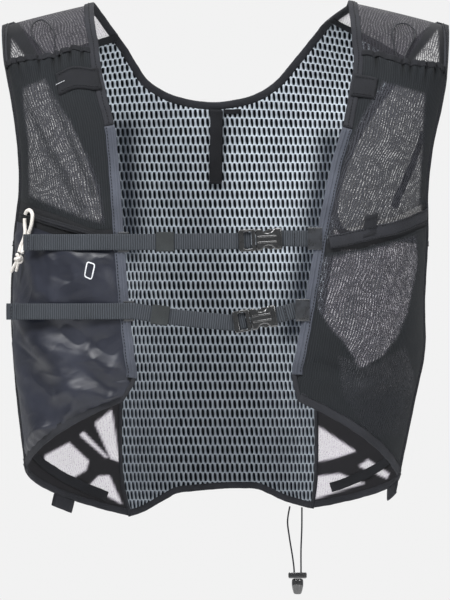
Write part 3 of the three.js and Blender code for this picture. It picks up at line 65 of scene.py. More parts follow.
stage_scene = bpy.context.scene
stage_scene.view_settings.view_transform = "Standard"
camera_data = bpy.data.cameras.new("camera")
camera_data.sensor_fit = "VERTICAL"
camera_data.sensor_height = SENSOR
camera_data.lens = SENSOR * CAMERA_DISTANCE / VIEW_HEIGHT
camera = bpy.data.objects.new("camera", camera_data)
camera.location = (0, -CAMERA_DISTANCE, VIEW_MIDDLE)
camera.rotation_euler = (math.pi / 2, 0, 0)
stage_scene.collection.objects.link(camera)
stage_scene.camera = camera
print("lens in mm:", round(camera_data.lens))

# %% [markdown]
# ## Finishes from nodes
# Every finish is made of procedural nodes. What several finishes share is a node group: ribs, a plain
# weave, slow fading and the open holes of a mesh. Each group is built once and placed in each material
# with its own values. Patterns follow a UV map in millimetres along the cloth, so they bend with it.

# %% Helpers for nodes
def add_node(tree, kind, inputs=None, **settings):
    node = tree.nodes.new(kind)
    for name, value in settings.items():
        setattr(node, name, value)
    for socket, value in (inputs or {}).items():
        if isinstance(value, bpy.types.NodeSocket):
            tree.links.new(value, node.inputs[socket])
        else:
            node.inputs[socket].default_value = value
    return node


def maths(tree, operation, *values):
    return add_node(tree, "ShaderNodeMath", dict(enumerate(values)), operation=operation).outputs[0]


def spread(tree, value, low, high, new_low=0.0, new_high=1.0):
    return add_node(tree, "ShaderNodeMapRange", {
        "Value": value, "From Min": low, "From Max": high, "To Min": new_low, "To Max": new_high,
    }, interpolation_type="SMOOTHSTEP").outputs["Result"]


def blend_colours(tree, factor, first, second):
    return add_node(tree, "ShaderNodeMix", {"Factor": factor, 6: first, 7: second},
                    data_type="RGBA").outputs[2]


def effect_group(name, inputs, outputs):
    tree = bpy.data.node_groups.new(name, "ShaderNodeTree")
    for label, kind, value in inputs:
        socket = tree.interface.new_socket(label, in_out="INPUT", socket_type=kind)
        if value is not None:
            socket.default_value = value
    for label in outputs:
        tree.interface.new_socket(label, in_out="OUTPUT", socket_type="NodeSocketFloat")
    return tree, tree.nodes.new("NodeGroupInput").outputs, tree.nodes.new("NodeGroupOutput").inputs


def tone(text):
    values = [int(text[i:i + 2], 16) / 255 for i in (0, 2, 4)]
    return (*[v / 12.92 if v <= 0.04045 else ((v + 0.055) / 1.055) ** 2.4 for v in values], 1.0)


VECTOR, FLOAT = "NodeSocketVector", "NodeSocketFloat"
TURN = 2 * math.pi

# %% Ribs: raised lines across the cloth, with a slight wander
ribs, given, result = effect_group("ribs", [
    ("Vector", VECTOR, None), ("Pitch", FLOAT, 1.0), ("Wander", FLOAT, 0.4)], ["Height"])
wander = add_node(ribs, "ShaderNodeTexNoise", {"Vector": given["Vector"], "Scale": 0.25}).outputs[0]
place = add_node(ribs, "ShaderNodeSeparateXYZ", {0: given["Vector"]}).outputs["X"]
turns = maths(ribs, "ADD", maths(ribs, "DIVIDE", place, given["Pitch"]),
              maths(ribs, "MULTIPLY", wander, given["Wander"]))
wave = maths(ribs, "SINE", maths(ribs, "MULTIPLY", turns, TURN))
ribs.links.new(maths(ribs, "MULTIPLY_ADD", wave, 0.5, 0.5), result["Height"])
print("group:", ribs.name)

# %% Plain weave: two sets of threads that pass over and under each other
weave, given, result = effect_group("weave", [("Vector", VECTOR, None), ("Pitch", FLOAT, 0.5)], ["Height"])
split = add_node(weave, "ShaderNodeSeparateXYZ", {0: given["Vector"]})
waves = [maths(weave, "SINE", maths(weave, "MULTIPLY", maths(weave, "DIVIDE", split.outputs[axis],
                                                          given["Pitch"]), math.pi)) for axis in "XY"]
crossing = maths(weave, "GREATER_THAN", maths(weave, "MULTIPLY", *waves), 0.0)
humps = [maths(weave, "ABSOLUTE", wave) for wave in waves]
over = maths(weave, "MULTIPLY", humps[0], crossing)
under = maths(weave, "MULTIPLY", humps[1], maths(weave, "SUBTRACT", 1.0, crossing))
weave.links.new(maths(weave, "ADD", over, under), result["Height"])
print("group:", weave.name)

# %% Fading: slow changes of tone, as cloth has after some use
fading, given, result = effect_group("fading", [("Vector", VECTOR, None), ("Size", FLOAT, 30.0)], ["Value"])
slow = add_node(fading, "ShaderNodeTexNoise", {
    "Vector": given["Vector"], "Scale": maths(fading, "DIVIDE", 1.0, given["Size"]), "Detail": 3.0})
fading.links.new(spread(fading, slow.outputs[0], 0.3, 0.7), result["Value"])
print("group:", fading.name)

# %% Fluff: fine fibres that stand up from a knit or a felt
fluff, given, result = effect_group("fluff", [("Vector", VECTOR, None), ("Size", FLOAT, 0.5)], ["Height"])
fine = add_node(fluff, "ShaderNodeTexNoise", {
    "Vector": given["Vector"], "Scale": maths(fluff, "DIVIDE", 1.0, given["Size"]), "Detail": 4.0,
    "Roughness": 0.7})
fluff.links.new(fine.outputs[0], result["Height"])
print("group:", fluff.name)

# %% Flecks: the light points where the holes of two layers of mesh happen to line up
flecks, given, result = effect_group("flecks", [
    ("Vector", VECTOR, None), ("Size", FLOAT, 1.2), ("Share", FLOAT, 0.5), ("Bands", FLOAT, 0.5)], ["Mask"])
drift = add_node(flecks, "ShaderNodeTexNoise", {"Vector": given["Vector"], "Scale": 0.022, "Detail": 1.0})
place = add_node(flecks, "ShaderNodeSeparateXYZ", {0: given["Vector"]})
leaning = maths(flecks, "MULTIPLY_ADD", place.outputs["Y"], 0.12, place.outputs["X"])
turns = maths(flecks, "MULTIPLY_ADD", drift.outputs[0], 8.0, maths(flecks, "DIVIDE", leaning, 2.5))
lines = maths(flecks, "MULTIPLY_ADD", maths(flecks, "SINE", maths(flecks, "MULTIPLY", turns, TURN)), 0.5, 0.5)
slow = add_node(flecks, "ShaderNodeTexNoise", {"Vector": given["Vector"], "Scale": 0.07, "Detail": 2.0})
banded = maths(flecks, "ADD", maths(flecks, "MULTIPLY", lines, 0.6),
               maths(flecks, "MULTIPLY", slow.outputs[0], 0.4))
dots = add_node(flecks, "ShaderNodeTexVoronoi", {
    "Vector": given["Vector"], "Scale": maths(flecks, "DIVIDE", 1.0, given["Size"]), "Randomness": 0.9})
light = maths(flecks, "SUBTRACT", 1.0, dots.outputs["Distance"])
both = maths(flecks, "ADD", maths(flecks, "MULTIPLY", light, maths(flecks, "SUBTRACT", 1.0, given["Bands"])),
             maths(flecks, "MULTIPLY", banded, given["Bands"]))
dark_share = maths(flecks, "SUBTRACT", 1.0, given["Share"])
rise = maths(flecks, "DIVIDE", maths(flecks, "SUBTRACT", both, dark_share), 0.12)
flecks.links.new(add_node(flecks, "ShaderNodeClamp", {"Value": rise}).outputs[0], result["Mask"])
print("group:", flecks.name)

# %% Crumple: long sharp ridges between flat facets, as in thin coated nylon
crumple, given, result = effect_group("crumple", [("Vector", VECTOR, None), ("Size", FLOAT, 20.0)],
                                      ["Height"])
leant = add_node(crumple, "ShaderNodeVectorRotate", {"Vector": given["Vector"], "Angle": -0.7},
                 rotation_type="Z_AXIS").outputs[0]
drawn = add_node(crumple, "ShaderNodeVectorMath", {0: leant, 1: (0.45, 1.0, 1.0)},
                 operation="MULTIPLY").outputs[0]
rough_field = add_node(crumple, "ShaderNodeTexNoise", {
    "Vector": drawn, "Scale": maths(crumple, "DIVIDE", 1.0, given["Size"]), "Detail": 2.0, "Roughness": 0.4})
ridge = maths(crumple, "ABSOLUTE", maths(crumple, "MULTIPLY_ADD", rough_field.outputs[0], 2.0, -1.0))
crumple.links.new(maths(crumple, "SUBTRACT", 1.0, ridge), result["Height"])
print("group:", crumple.name)

# %% [markdown]
# ## One recipe for cloth
# Cloth has a dark and a light thread tone, a raised pattern, fine fluff and slow fading. The recipe below
# joins those groups in one material. Sheen stands on the shader's own socket, because it is the same all
# over. A see-through mesh adds holes: the cloth carries a painted value, "open", from 0 to 1, and the
# flecks group breaks it up. Where "open" is low, the cloth takes its closed tones, which are partly
# painted shade of the inside behind it. A second painted attribute may carry painted light and shade
# into the tone.

# %% The cloth recipe
def place_group(tree, group, **inputs):
    return add_node(tree, "ShaderNodeGroup", inputs, node_tree=group).outputs[0]


def cloth(name, dark, light, rough=0.85, pattern=weave, pitch=0.6, relief=0.00012, sheen=0.04, fade=0.35,
          fluff_size=0.5, fluff_share=0.35, turned=False, open_share=None, holes=None, solid_floor=0.04,
          coat=0.0, specular=0.18, closed=None, light_and_shade_attribute=None, crumpled=0.0):
    material = bpy.data.materials.new(name)
    material.use_nodes = True
    tree = material.node_tree
    shader = tree.nodes["Principled BSDF"]
    map_mm = add_node(tree, "ShaderNodeUVMap", uv_map="cloth").outputs[0]
    along = map_mm
    if turned:
        along = add_node(tree, "ShaderNodeVectorRotate", {"Vector": map_mm, "Angle": math.pi / 2},
                         rotation_type="Z_AXIS").outputs[0]
    raised = place_group(tree, pattern, Vector=along, Pitch=pitch)
    fibres = place_group(tree, fluff, Vector=map_mm, Size=fluff_size)
    age = place_group(tree, fading, Vector=map_mm, Size=35.0)
    height = maths(tree, "ADD", maths(tree, "MULTIPLY", raised, 1 - fluff_share),
                   maths(tree, "MULTIPLY", fibres, fluff_share))
    mixing = maths(tree, "ADD", maths(tree, "MULTIPLY", height, 1 - fade), maths(tree, "MULTIPLY", age, fade))
    # An optional painted attribute of painted light and shade lifts or darkens the tone.
    if light_and_shade_attribute:
        light_and_shade_value = add_node(tree, "ShaderNodeAttribute", attribute_name=light_and_shade_attribute).outputs["Fac"]
        mixing = maths(tree, "MULTIPLY", light_and_shade_value, maths(tree, "MULTIPLY_ADD", mixing, 0.6, 0.4))
    colour = blend_colours(tree, mixing, tone(dark), tone(light))
    tree.links.new(spread(tree, age, 0.0, 1.0, rough - 0.06, min(rough + 0.06, 1.0)),
                   shader.inputs["Roughness"])
    bump = add_node(tree, "ShaderNodeBump", {"Height": height, "Distance": relief, "Strength": 1.0})
    tree.links.new(bump.outputs[0], shader.inputs["Normal"])
    if crumpled:
        ridges = place_group(tree, crumple, Vector=map_mm, Size=30.0)
        large = add_node(tree, "ShaderNodeBump", {"Height": ridges, "Distance": crumpled, "Strength": 1.0})
        tree.links.new(large.outputs[0], bump.inputs["Normal"])
    shader.inputs["Sheen Weight"].default_value = sheen
    shader.inputs["Sheen Roughness"].default_value = 0.4
    shader.inputs["Specular IOR Level"].default_value = specular
    shader.inputs["Coat Weight"].default_value = coat
    shader.inputs["Coat Roughness"].default_value = 0.3
    if open_share is not None:
        painted = add_node(tree, "ShaderNodeAttribute", attribute_name="open").outputs["Fac"]
        # Closed tones: partly the dark layers behind the mesh, partly painted shade of the vest's inside seen
        # through it.
        closed_and_shaded_tone = blend_colours(tree, mixing, tone(closed[0]), tone(closed[1]))
        colour = blend_colours(tree, painted, closed_and_shaded_tone, colour)
        specks = place_group(tree, flecks, Vector=map_mm, **(holes or {}))
        kept = maths(tree, "ADD", solid_floor, maths(tree, "MULTIPLY", specks, open_share - solid_floor))
        gap = maths(tree, "MULTIPLY", painted, kept)
        tree.links.new(maths(tree, "SUBTRACT", 1.0, gap), shader.inputs["Alpha"])
    tree.links.new(colour, shader.inputs["Base Color"])
    return material


# %% [markdown]
# ## Meshes from grids
# Cloth, tapes and cords are all grids of points: a sheet is an open grid, and a tape or a cord is a grid
# that closes round its section. One helper turns such a grid into a piece with its UV map in
# millimetres, and another follows a path with a section.

# %% Helpers for meshes
def quads(rows, cols, closed=False):
    i, j = np.mgrid[0:rows - 1, 0:cols if closed else cols - 1]
    right = (j + 1) % cols
    return np.stack([i * cols + j, i * cols + right, (i + 1) * cols + right, (i + 1) * cols + j],
                    -1).reshape(-1, 4)


def piece(name, points, faces, material, uv, replaced=(), marks=None, closed=False):
    mesh = bpy.data.meshes.new(name)
    mesh.from_pydata(np.asarray(points).reshape(-1, 3).tolist(), [], [list(face) for face in faces])
    corners = np.zeros(len(mesh.loops), dtype=np.int32)
    mesh.loops.foreach_get("vertex_index", corners)
    layer = mesh.uv_layers.new(name="cloth")
    layer.data.foreach_set("uv", np.asarray(uv, float).reshape(-1, 2)[corners].ravel())
    for label, values in (marks or {}).items():
        mesh.attributes.new(label, "FLOAT", "POINT").data.foreach_set("value", np.ravel(values).astype(float))
    if closed:
        shape = bmesh.new()
        shape.from_mesh(mesh)
        bmesh.ops.recalc_face_normals(shape, faces=shape.faces)
        shape.to_mesh(mesh)
        shape.free()
    mesh.polygons.foreach_set("use_smooth", [True] * len(mesh.polygons))
    mesh.materials.append(material)
    made = bpy.data.objects.new(name, mesh)
    stage_scene.collection.objects.link(made)
    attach(made, "root")
    if replaced:
        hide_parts(*replaced)
    return made


def unit(vectors):
    return vectors / np.maximum(np.linalg.norm(vectors, axis=-1, keepdims=True), 1e-12)


def arc_lengths(points):
    return np.concatenate([[0], np.cumsum(np.linalg.norm(np.diff(points, axis=0), axis=1))])


def tangents(points):
    return unit(np.gradient(points, axis=0))


def resample(points, step):
    arcs = arc_lengths(points)
    places = np.linspace(0, arcs[-1], max(int(round(arcs[-1] / step)), 2) + 1)
    return np.stack([np.interp(places, arcs, points[:, k]) for k in range(3)], 1)


def through(values, place):
    values = np.asarray(values, float)
    last = len(values) - 1
    place = np.asarray(place, float)
    i = np.clip(np.floor(place).astype(int), 0, last - 1)
    f = place - i
    if values.ndim > 1:
        f = f[..., None]
    a, b, c, d = (values[np.clip(i + k, 0, last)] for k in (-1, 0, 1, 2))
    square, cube = 2 * a - 5 * b + 4 * c - d, 3 * b - a - 3 * c + d
    return 0.5 * (2 * b + (c - a) * f + square * f ** 2 + cube * f ** 3)


def smooth_path(points, count):
    points = np.asarray(points, float)
    return through(points, np.linspace(0, len(points) - 1, count))


def rounded_section(width, thickness, count=14, squareness=0.4, middle=0.0):
    angles = np.linspace(0, TURN, count, endpoint=False) + TURN / count / 2
    a = np.sign(np.cos(angles)) * np.abs(np.cos(angles)) ** squareness * width / 2
    b = np.sign(np.sin(angles)) * np.abs(np.sin(angles)) ** 0.7 * thickness / 2
    return np.stack([a + middle, b], 1)


def swept(name, path, first, second, section, material, replaced=(), grow=None):
    count = len(section)
    scale = np.ones(len(path)) if grow is None else grow
    ring = (path[:, None] + first[:, None] * (section[None, :, :1] * scale[:, None, None])
            + second[:, None] * (section[None, :, 1:] * scale[:, None, None]))
    faces = [*quads(len(path), count, closed=True), range(count)[::-1],
             range((len(path) - 1) * count, len(path) * count)]
    arcs = arc_lengths(path) * 1000
    uv = np.stack(np.broadcast_arrays(arcs[:, None], section[None, :, 0] * 1000), -1)
    return piece(name, ring, faces, material, uv, replaced, closed=True)


# %% [markdown]
# ## Cords
# Six short cords belong to the vest: an elastic loop on each shoulder, two strands of the hem's drawcord
# and two strands of the white pull cord. A cord is a round tube along a smooth path through the points of
# its CAD route. Its section keeps the same twist from end to end, so that the braid runs evenly.

# %% Finishes of the cords
def braid(name, dark, light, pitch, rough=0.8):
    return cloth(name, dark, light, rough=rough, pattern=weave, pitch=pitch, relief=0.00018,
                 fade=0.2, fluff_size=0.3, fluff_share=0.4)


white_braid = braid("white_braid", "cfc8c0", "f7f3ee", 0.8)
dark_braid = braid("dark_braid", "121214", "3a3b40", 0.45, rough=0.6)
print("cord finishes:", white_braid.name, dark_braid.name)

# %% The cords
def tube(name, path, radius, material, replaced=(), sides=12, grow=None):
    along = tangents(path)
    side = np.zeros_like(path)
    side[0] = unit(np.cross(along[0], [0.3, 1.0, 0.2]))
    for i in range(1, len(path)):
        side[i] = unit(side[i - 1] - along[i] * np.dot(side[i - 1], along[i]))
    angles = np.linspace(0, TURN, sides, endpoint=False)
    section = np.stack([np.cos(angles), np.sin(angles)], 1) * radius
    return swept(name, path, side, np.cross(along, side), section, material, replaced, grow)


MM = 0.001
CORD_ROUTES = {
    "shoulder_loop_left": [
        (-156.7, -77.6, -36.7), (-155.8, -69.5, -27.5), (-156.7, -60.2, -18.1), (-161.3, -46.0, -9.6),
        (-167.8, -30.7, -5.0), (-174.2, -31.6, -6.8), (-178.3, -43.1, -12.4), (-177.1, -53.9, -19.1),
        (-173.2, -62.7, -26.1), (-168.8, -68.7, -31.2), (-163.9, -75.4, -36.7)],
    "shoulder_loop_right": [
        (158.4, -81.6, -42.1), (155.7, -73.9, -33.0), (153.9, -65.3, -23.3), (153.9, -55.4, -15.3),
        (157.4, -43.8, -9.6), (162.3, -38.4, -8.2), (166.9, -36.9, -8.7), (171.5, -40.2, -11.5),
        (174.3, -45.9, -15.2), (173.4, -56.4, -21.8), (170.7, -63.7, -27.4), (167.0, -72.4, -34.8),
        (163.8, -79.3, -42.1)],
    "drawcord_left": [
        (59.9, 82.4, -452.8), (57.8, 81.6, -466.4), (59.4, 80.2, -480.9), (62.4, 78.4, -499.4),
        (63.8, 77.5, -511.2), (63.8, 77.5, -519.3)],
    "drawcord_right": [
        (71.0, 73.2, -453.6), (70.9, 74.6, -472.9), (70.2, 76.4, -492.8), (70.2, 77.5, -511.2),
        (70.2, 77.5, -519.3)],
    "pull_cord_front": [
        (-183.0, -67.0, -183.4), (-181.5, -69.6, -180.6), (-178.7, -74.2, -180.0), (-176.5, -77.1, -183.5),
        (-176.8, -77.0, -189.5), (-178.0, -76.3, -195.5), (-180.0, -73.6, -201.0), (-181.0, -72.2, -206.5),
        (-184.2, -68.8, -212.5), (-186.2, -69.6, -219.5)],
    "pull_cord_back": [
        (-183.6, -65.6, -187.4), (-183.5, -66.3, -193.2), (-183.2, -69.4, -200.0), (-184.4, -68.4, -206.1),
        (-187.2, -65.6, -212.5), (-188.7, -67.0, -218.4)],
}
CORD_DIAMETERS = {"shoulder_loop": 0.0014, "drawcord": 0.0015, "pull_cord": 0.0030}
cord_pieces, cord_paths = {}, {}
for cord_name, route in CORD_ROUTES.items():
    diameter = next(d for start, d in CORD_DIAMETERS.items() if cord_name.startswith(start))
    white = cord_name.startswith("pull_cord")
    cord_path = smooth_path(np.array(route) * MM, 40)
    cord_pieces[cord_name] = tube(f"{cord_name}_braid", cord_path, diameter * (0.58 if white else 0.5),
                                  white_braid if white else dark_braid,
                                  [cord_name])
    cord_paths[cord_name] = (cord_path, diameter)
    print(cord_name, "is", round(arc_lengths(cord_path)[-1] * 1000), "mm long")

# %% [markdown]
# ## The knot, the cord lock and the end piece
# The two white strands end in a tight overhand knot with two short tails. A torus knot of the same tube
# looks like the turns of a real knot when it is drawn small. The drawcord runs through a small moulded
# lock into a bell-shaped end piece: both are turned or moulded bodies with soft edges.

# %% The knot
KNOT_TOP = np.array((-187.8, -68.0, -220.3)) * MM
KNOT_END = np.array((-194.1, -58.6, -237.9)) * MM
knot_axis = unit(KNOT_END - KNOT_TOP)
knot_side = unit(np.cross(knot_axis, [0, 1, 0]))
knot_front = np.cross(knot_axis, knot_side)
knot_turn = np.linspace(0, TURN, 90)
knot_swing = 2.3 + 1.25 * np.cos(3 * knot_turn)
knot_local = np.stack([knot_swing * np.cos(2 * knot_turn) * 0.95, knot_swing * np.sin(2 * knot_turn) * 0.75,
                       4.6 + 2.3 * np.sin(3 * knot_turn) + 0.9 * np.cos(2 * knot_turn)], 1) * MM


def knot_place(local):
    return KNOT_TOP + local[:, :1] * knot_side + local[:, 1:2] * knot_front + local[:, 2:] * knot_axis


knot = tube("pull_cord_knot_turns", knot_place(knot_local), 0.00150, white_braid,
            ["pull_cord_knot"])
for number, (spread_out, reach) in enumerate(((-1.9, 20.0), (1.5, 17.5))):
    tail_local = smooth_path(np.array([(0, 0, 5.0), (spread_out * 0.5, 0.5, 9.0), (spread_out, 0.6, 14.0),
                                       (spread_out * 1.15, 0.0, reach)]) * MM, 16)
    tube(f"pull_cord_tail_{number + 1}", knot_place(tail_local), 0.00155, white_braid,
                           grow=np.linspace(1.0, 0.92, 16))

# %% A moulding: an outline with rounded edges
def moulding(name, outlines, depth, edge, origin, axes, front=0.0):
    """The outlines lie in the first two axes; the depth runs along the third, centred on front."""
    shape = bpy.data.curves.new(name, "CURVE")
    shape.dimensions = "2D"
    shape.fill_mode = "BOTH"
    shape.extrude = max(depth / 2 - edge, 0)
    shape.bevel_depth = edge
    shape.bevel_resolution = 2
    shape.offset = -edge
    for line in outlines:
        spline = shape.splines.new("POLY")
        spline.points.add(len(line) - 1)
        spline.points.foreach_set("co", np.array([(x, y, 0, 1) for x, y in line], float).ravel())
        spline.use_cyclic_u = True
    holder = bpy.data.objects.new(name, shape)
    stage_scene.collection.objects.link(holder)
    mesh = bpy.data.meshes.new_from_object(holder.evaluated_get(bpy.context.evaluated_depsgraph_get()))
    bpy.data.objects.remove(holder)
    local = np.zeros(len(mesh.vertices) * 3)
    mesh.vertices.foreach_get("co", local)
    local = local.reshape(-1, 3)
    faces = [list(polygon.vertices) for polygon in mesh.polygons]
    placed = origin + local[:, :1] * axes[0] + local[:, 1:2] * axes[1] + (local[:, 2:] + front) * axes[2]
    return local, faces, placed


def joined_moulding(name, parts, material, replaced):
    points, faces, flat = [], [], []
    for local, part_faces, placed in parts:
        start = sum(len(p) for p in points)
        points.append(placed)
        flat.append(local[:, :2] * 1000)
        faces += [[index + start for index in face] for face in part_faces]
    made = piece(name, np.concatenate(points), faces, material, np.concatenate(flat), replaced)
    shape = bmesh.new()
    shape.from_mesh(made.data)
    bmesh.ops.remove_doubles(shape, verts=shape.verts, dist=1e-6)
    bmesh.ops.recalc_face_normals(shape, faces=shape.faces)
    shape.to_mesh(made.data)
    shape.free()
    made.data.polygons.foreach_set("use_smooth", [True] * len(made.data.polygons))
    made.data.set_sharp_from_angle(angle=math.radians(40))
    return made


def round_rectangle(x0, y0, x1, y1, radius, steps=4):
    corners = ((x1, y1, 0), (x0, y1, 1), (x0, y0, 2), (x1, y0, 3))
    line = []
    for x, y, quarter in corners:
        for k in range(steps + 1):
            angle = (quarter + k / steps) * math.pi / 2
            inward_x = x - radius if quarter in (0, 3) else x + radius
            inward_y = y - radius if quarter in (0, 1) else y + radius
            line.append((inward_x + radius * math.cos(angle), inward_y + radius * math.sin(angle)))
    return line


# %% The plastic finish: glossy black acetal with faint moulding grain and slow changes of tone
def plastic(name, dark, light, rough):
    material = bpy.data.materials.new(name)
    material.use_nodes = True
    tree = material.node_tree
    shader = tree.nodes["Principled BSDF"]
    map_mm = add_node(tree, "ShaderNodeTexCoord").outputs["Object"]
    scaled = add_node(tree, "ShaderNodeVectorMath", {0: map_mm, 1: (1000.0, 1000.0, 1000.0)},
                      operation="MULTIPLY").outputs[0]
    grain_height = place_group(tree, fluff, Vector=scaled, Size=0.35)
    age = place_group(tree, fading, Vector=scaled, Size=6.0)
    tree.links.new(blend_colours(tree, age, tone(dark), tone(light)), shader.inputs["Base Color"])
    tree.links.new(spread(tree, age, 0.0, 1.0, rough, rough + 0.12), shader.inputs["Roughness"])
    bump = add_node(tree, "ShaderNodeBump", {"Height": grain_height, "Distance": 0.00003, "Strength": 1.0})
    tree.links.new(bump.outputs[0], shader.inputs["Normal"])
    shader.inputs["Coat Weight"].default_value = 1.0
    shader.inputs["Coat Roughness"].default_value = 0.11
    shader.inputs["Coat IOR"].default_value = 1.9
    return material


black_plastic = plastic("black_plastic", "050506", "0d0e0f", 0.20)
grey_plastic = plastic("grey_plastic", "101216", "202329", 0.26)
WORLD_AXES = np.eye(3)

# %% Cord lock and end piece
LOCK_MIDDLE = np.array((67.0, 77.5, -516.5)) * MM
lock_outline = round_rectangle(-0.0085, -0.00275, 0.0085, 0.00275, 0.0014)
lock_parts = [moulding("lock", [lock_outline], 0.0070, 0.0008, LOCK_MIDDLE, (
    WORLD_AXES[0], WORLD_AXES[2], -WORLD_AXES[1]))]
cord_lock = joined_moulding("cord_lock_body", lock_parts, black_plastic, ["cord_lock"])
END_PROFILE = [(0.0, 0.2), (0.0, 3.4), (0.6, 4.7), (1.8, 5.2), (6.0, 5.25), (10.0, 4.6), (13.0, 3.7),
               (14.2, 2.6), (14.5, 0.2)]
end_profile = smooth_path(np.array(END_PROFILE) * MM, 33)
end_path = LOCK_MIDDLE + [0, 0, -0.00305] - end_profile[:, :1] * WORLD_AXES[2]
angles = np.linspace(0, TURN, 28, endpoint=False)
end_ring = end_path[:, None] + end_profile[:, 1][:, None, None] * np.stack(
    [np.cos(angles), np.sin(angles), 0 * angles], 1)[None]
end_uv = np.stack(np.broadcast_arrays(end_profile[:, :1] * 1000, angles[None] * 5), -1)
cord_end = piece("cord_end_bell", end_ring, [*quads(33, 28, closed=True), range(28)[::-1],
                                             range(32 * 28, 33 * 28)],
                 black_plastic, end_uv, ["cord_end"], closed=True)
print("lock and end piece made")

# %% [markdown]
# ## The shape of the vest
# The vest is described by a few smooth forms: the back, two fronts and two sides. Each form gives a point
# for a place across (u) and a place down (v), from tables of shares of the vest's size. Every cloth,
# tape and seam below is laid on one of these forms, so neighbours meet without fitting.

# %% A form and the places on it
def mix(a, b, t):
    return a + (b - a) * t


class Form:
    def __init__(self, at, facing, last):
        self.at, self.facing, self.last = at, facing, last

    def normal(self, u, v, step=1e-3):
        u, v = np.asarray(u, float), np.asarray(v, float)
        along_u = self.at(u + step, v) - self.at(u - step, v)
        along_v = self.at(u, v + step) - self.at(u, v - step)
        return unit(np.cross(along_u, along_v)) * self.facing

    def locate(self, across, down):
        x, z = np.ravel(across) * HALF_WIDTH, -np.ravel(down) * WORN_LENGTH
        grid_u, grid_v = np.meshgrid(np.linspace(0, 1, 25), np.linspace(0, self.last, 4 * self.last + 1))
        grid = self.at(grid_u, grid_v).reshape(-1, 3)
        near = np.hypot(grid[None, :, 0] - x[:, None], grid[None, :, 2] - z[:, None]).argmin(1)
        u, v = grid_u.ravel()[near], grid_v.ravel()[near]
        step = 1e-3
        for _ in range(14):
            p = self.at(u, v)
            pu, pv = (self.at(u + step, v) - p) / step, (self.at(u, v + step) - p) / step
            det = pu[:, 0] * pv[:, 2] - pu[:, 2] * pv[:, 0]
            det = np.where(np.abs(det) < 1e-9, 1e-9, det)
            dx, dz = x - p[:, 0], z - p[:, 2]
            u = u + np.clip((dx * pv[:, 2] - dz * pv[:, 0]) / det, -0.1, 0.1)
            v = v + np.clip((pu[:, 0] * dz - pu[:, 2] * dx) / det, -0.5, 0.5)
        return u, v

    def inset(self, edge, v, distance):
        v = np.asarray(v, float)
        start = self.at(float(edge), v)
        low, high = np.zeros(v.shape), np.full(v.shape, 0.6)
        for _ in range(22):
            middle = (low + high) / 2
            reach = self.at(middle if edge == 0 else 1 - middle, v) - start
            short = np.linalg.norm(reach, axis=-1) < distance
            low, high = np.where(short, middle, low), np.where(short, high, middle)
        return low if edge == 0 else 1 - low

    def row_at(self, edge, down):
        low, high = 0.0, float(self.last)
        for _ in range(30):
            middle = (low + high) / 2
            if -self.at(float(edge), middle)[2] < down * WORN_LENGTH:
                low = middle
            else:
                high = middle
        return low


# %% [markdown]
# The tables hold shares: across is a share of the half width, forward and back of the half depth, and down
# of the worn length. The first row of each lies past the shoulder and only guides the slope there.

# %% The back
# Columns: left across, right across, edge down, middle down, edge back, middle back
BACK_TABLE = np.array([
    (-0.930, 0.920, 0.050, -0.010, -0.38, -0.46), (-0.965, 0.970, 0.020, -0.060, 0.00, 0.00),
    (-0.893, 0.880, 0.048, -0.010, 0.38, 0.46), (-0.822, 0.818, 0.094, 0.040, 0.54, 0.68),
    (-0.791, 0.769, 0.135, 0.105, 0.61, 0.80), (-0.720, 0.689, 0.180, 0.165, 0.67, 0.88),
    (-0.662, 0.613, 0.235, 0.230, 0.70, 0.94), (-0.604, 0.547, 0.300, 0.300, 0.71, 0.98),
    (-0.556, 0.502, 0.370, 0.370, 0.68, 1.00), (-0.516, 0.484, 0.450, 0.450, 0.63, 0.98),
    (-0.480, 0.444, 0.570, 0.570, 0.56, 0.92), (-0.467, 0.422, 0.670, 0.670, 0.53, 0.88),
    (-0.467, 0.409, 0.770, 0.770, 0.53, 0.88), (-0.468, 0.409, 0.870, 0.870, 0.56, 0.92),
    (-0.458, 0.404, 0.940, 0.940, 0.58, 0.95), (-0.422, 0.382, 1.006, 1.006, 0.60, 0.97)])


def back_at(u, v):
    u, v = np.broadcast_arrays(np.asarray(u, float), np.asarray(v, float))
    left, right, edge_down, mid_down, edge_back, mid_back = np.moveaxis(through(BACK_TABLE, v + 1), -1, 0)
    off = np.abs(2 * u - 1)
    return np.stack([mix(left, right, u) * HALF_WIDTH, mix(mid_back, edge_back, off ** 2.6) * HALF_DEPTH,
                     -mix(mid_down, edge_down, off ** 1.5) * WORN_LENGTH], -1)


back = Form(back_at, 1, len(BACK_TABLE) - 2)

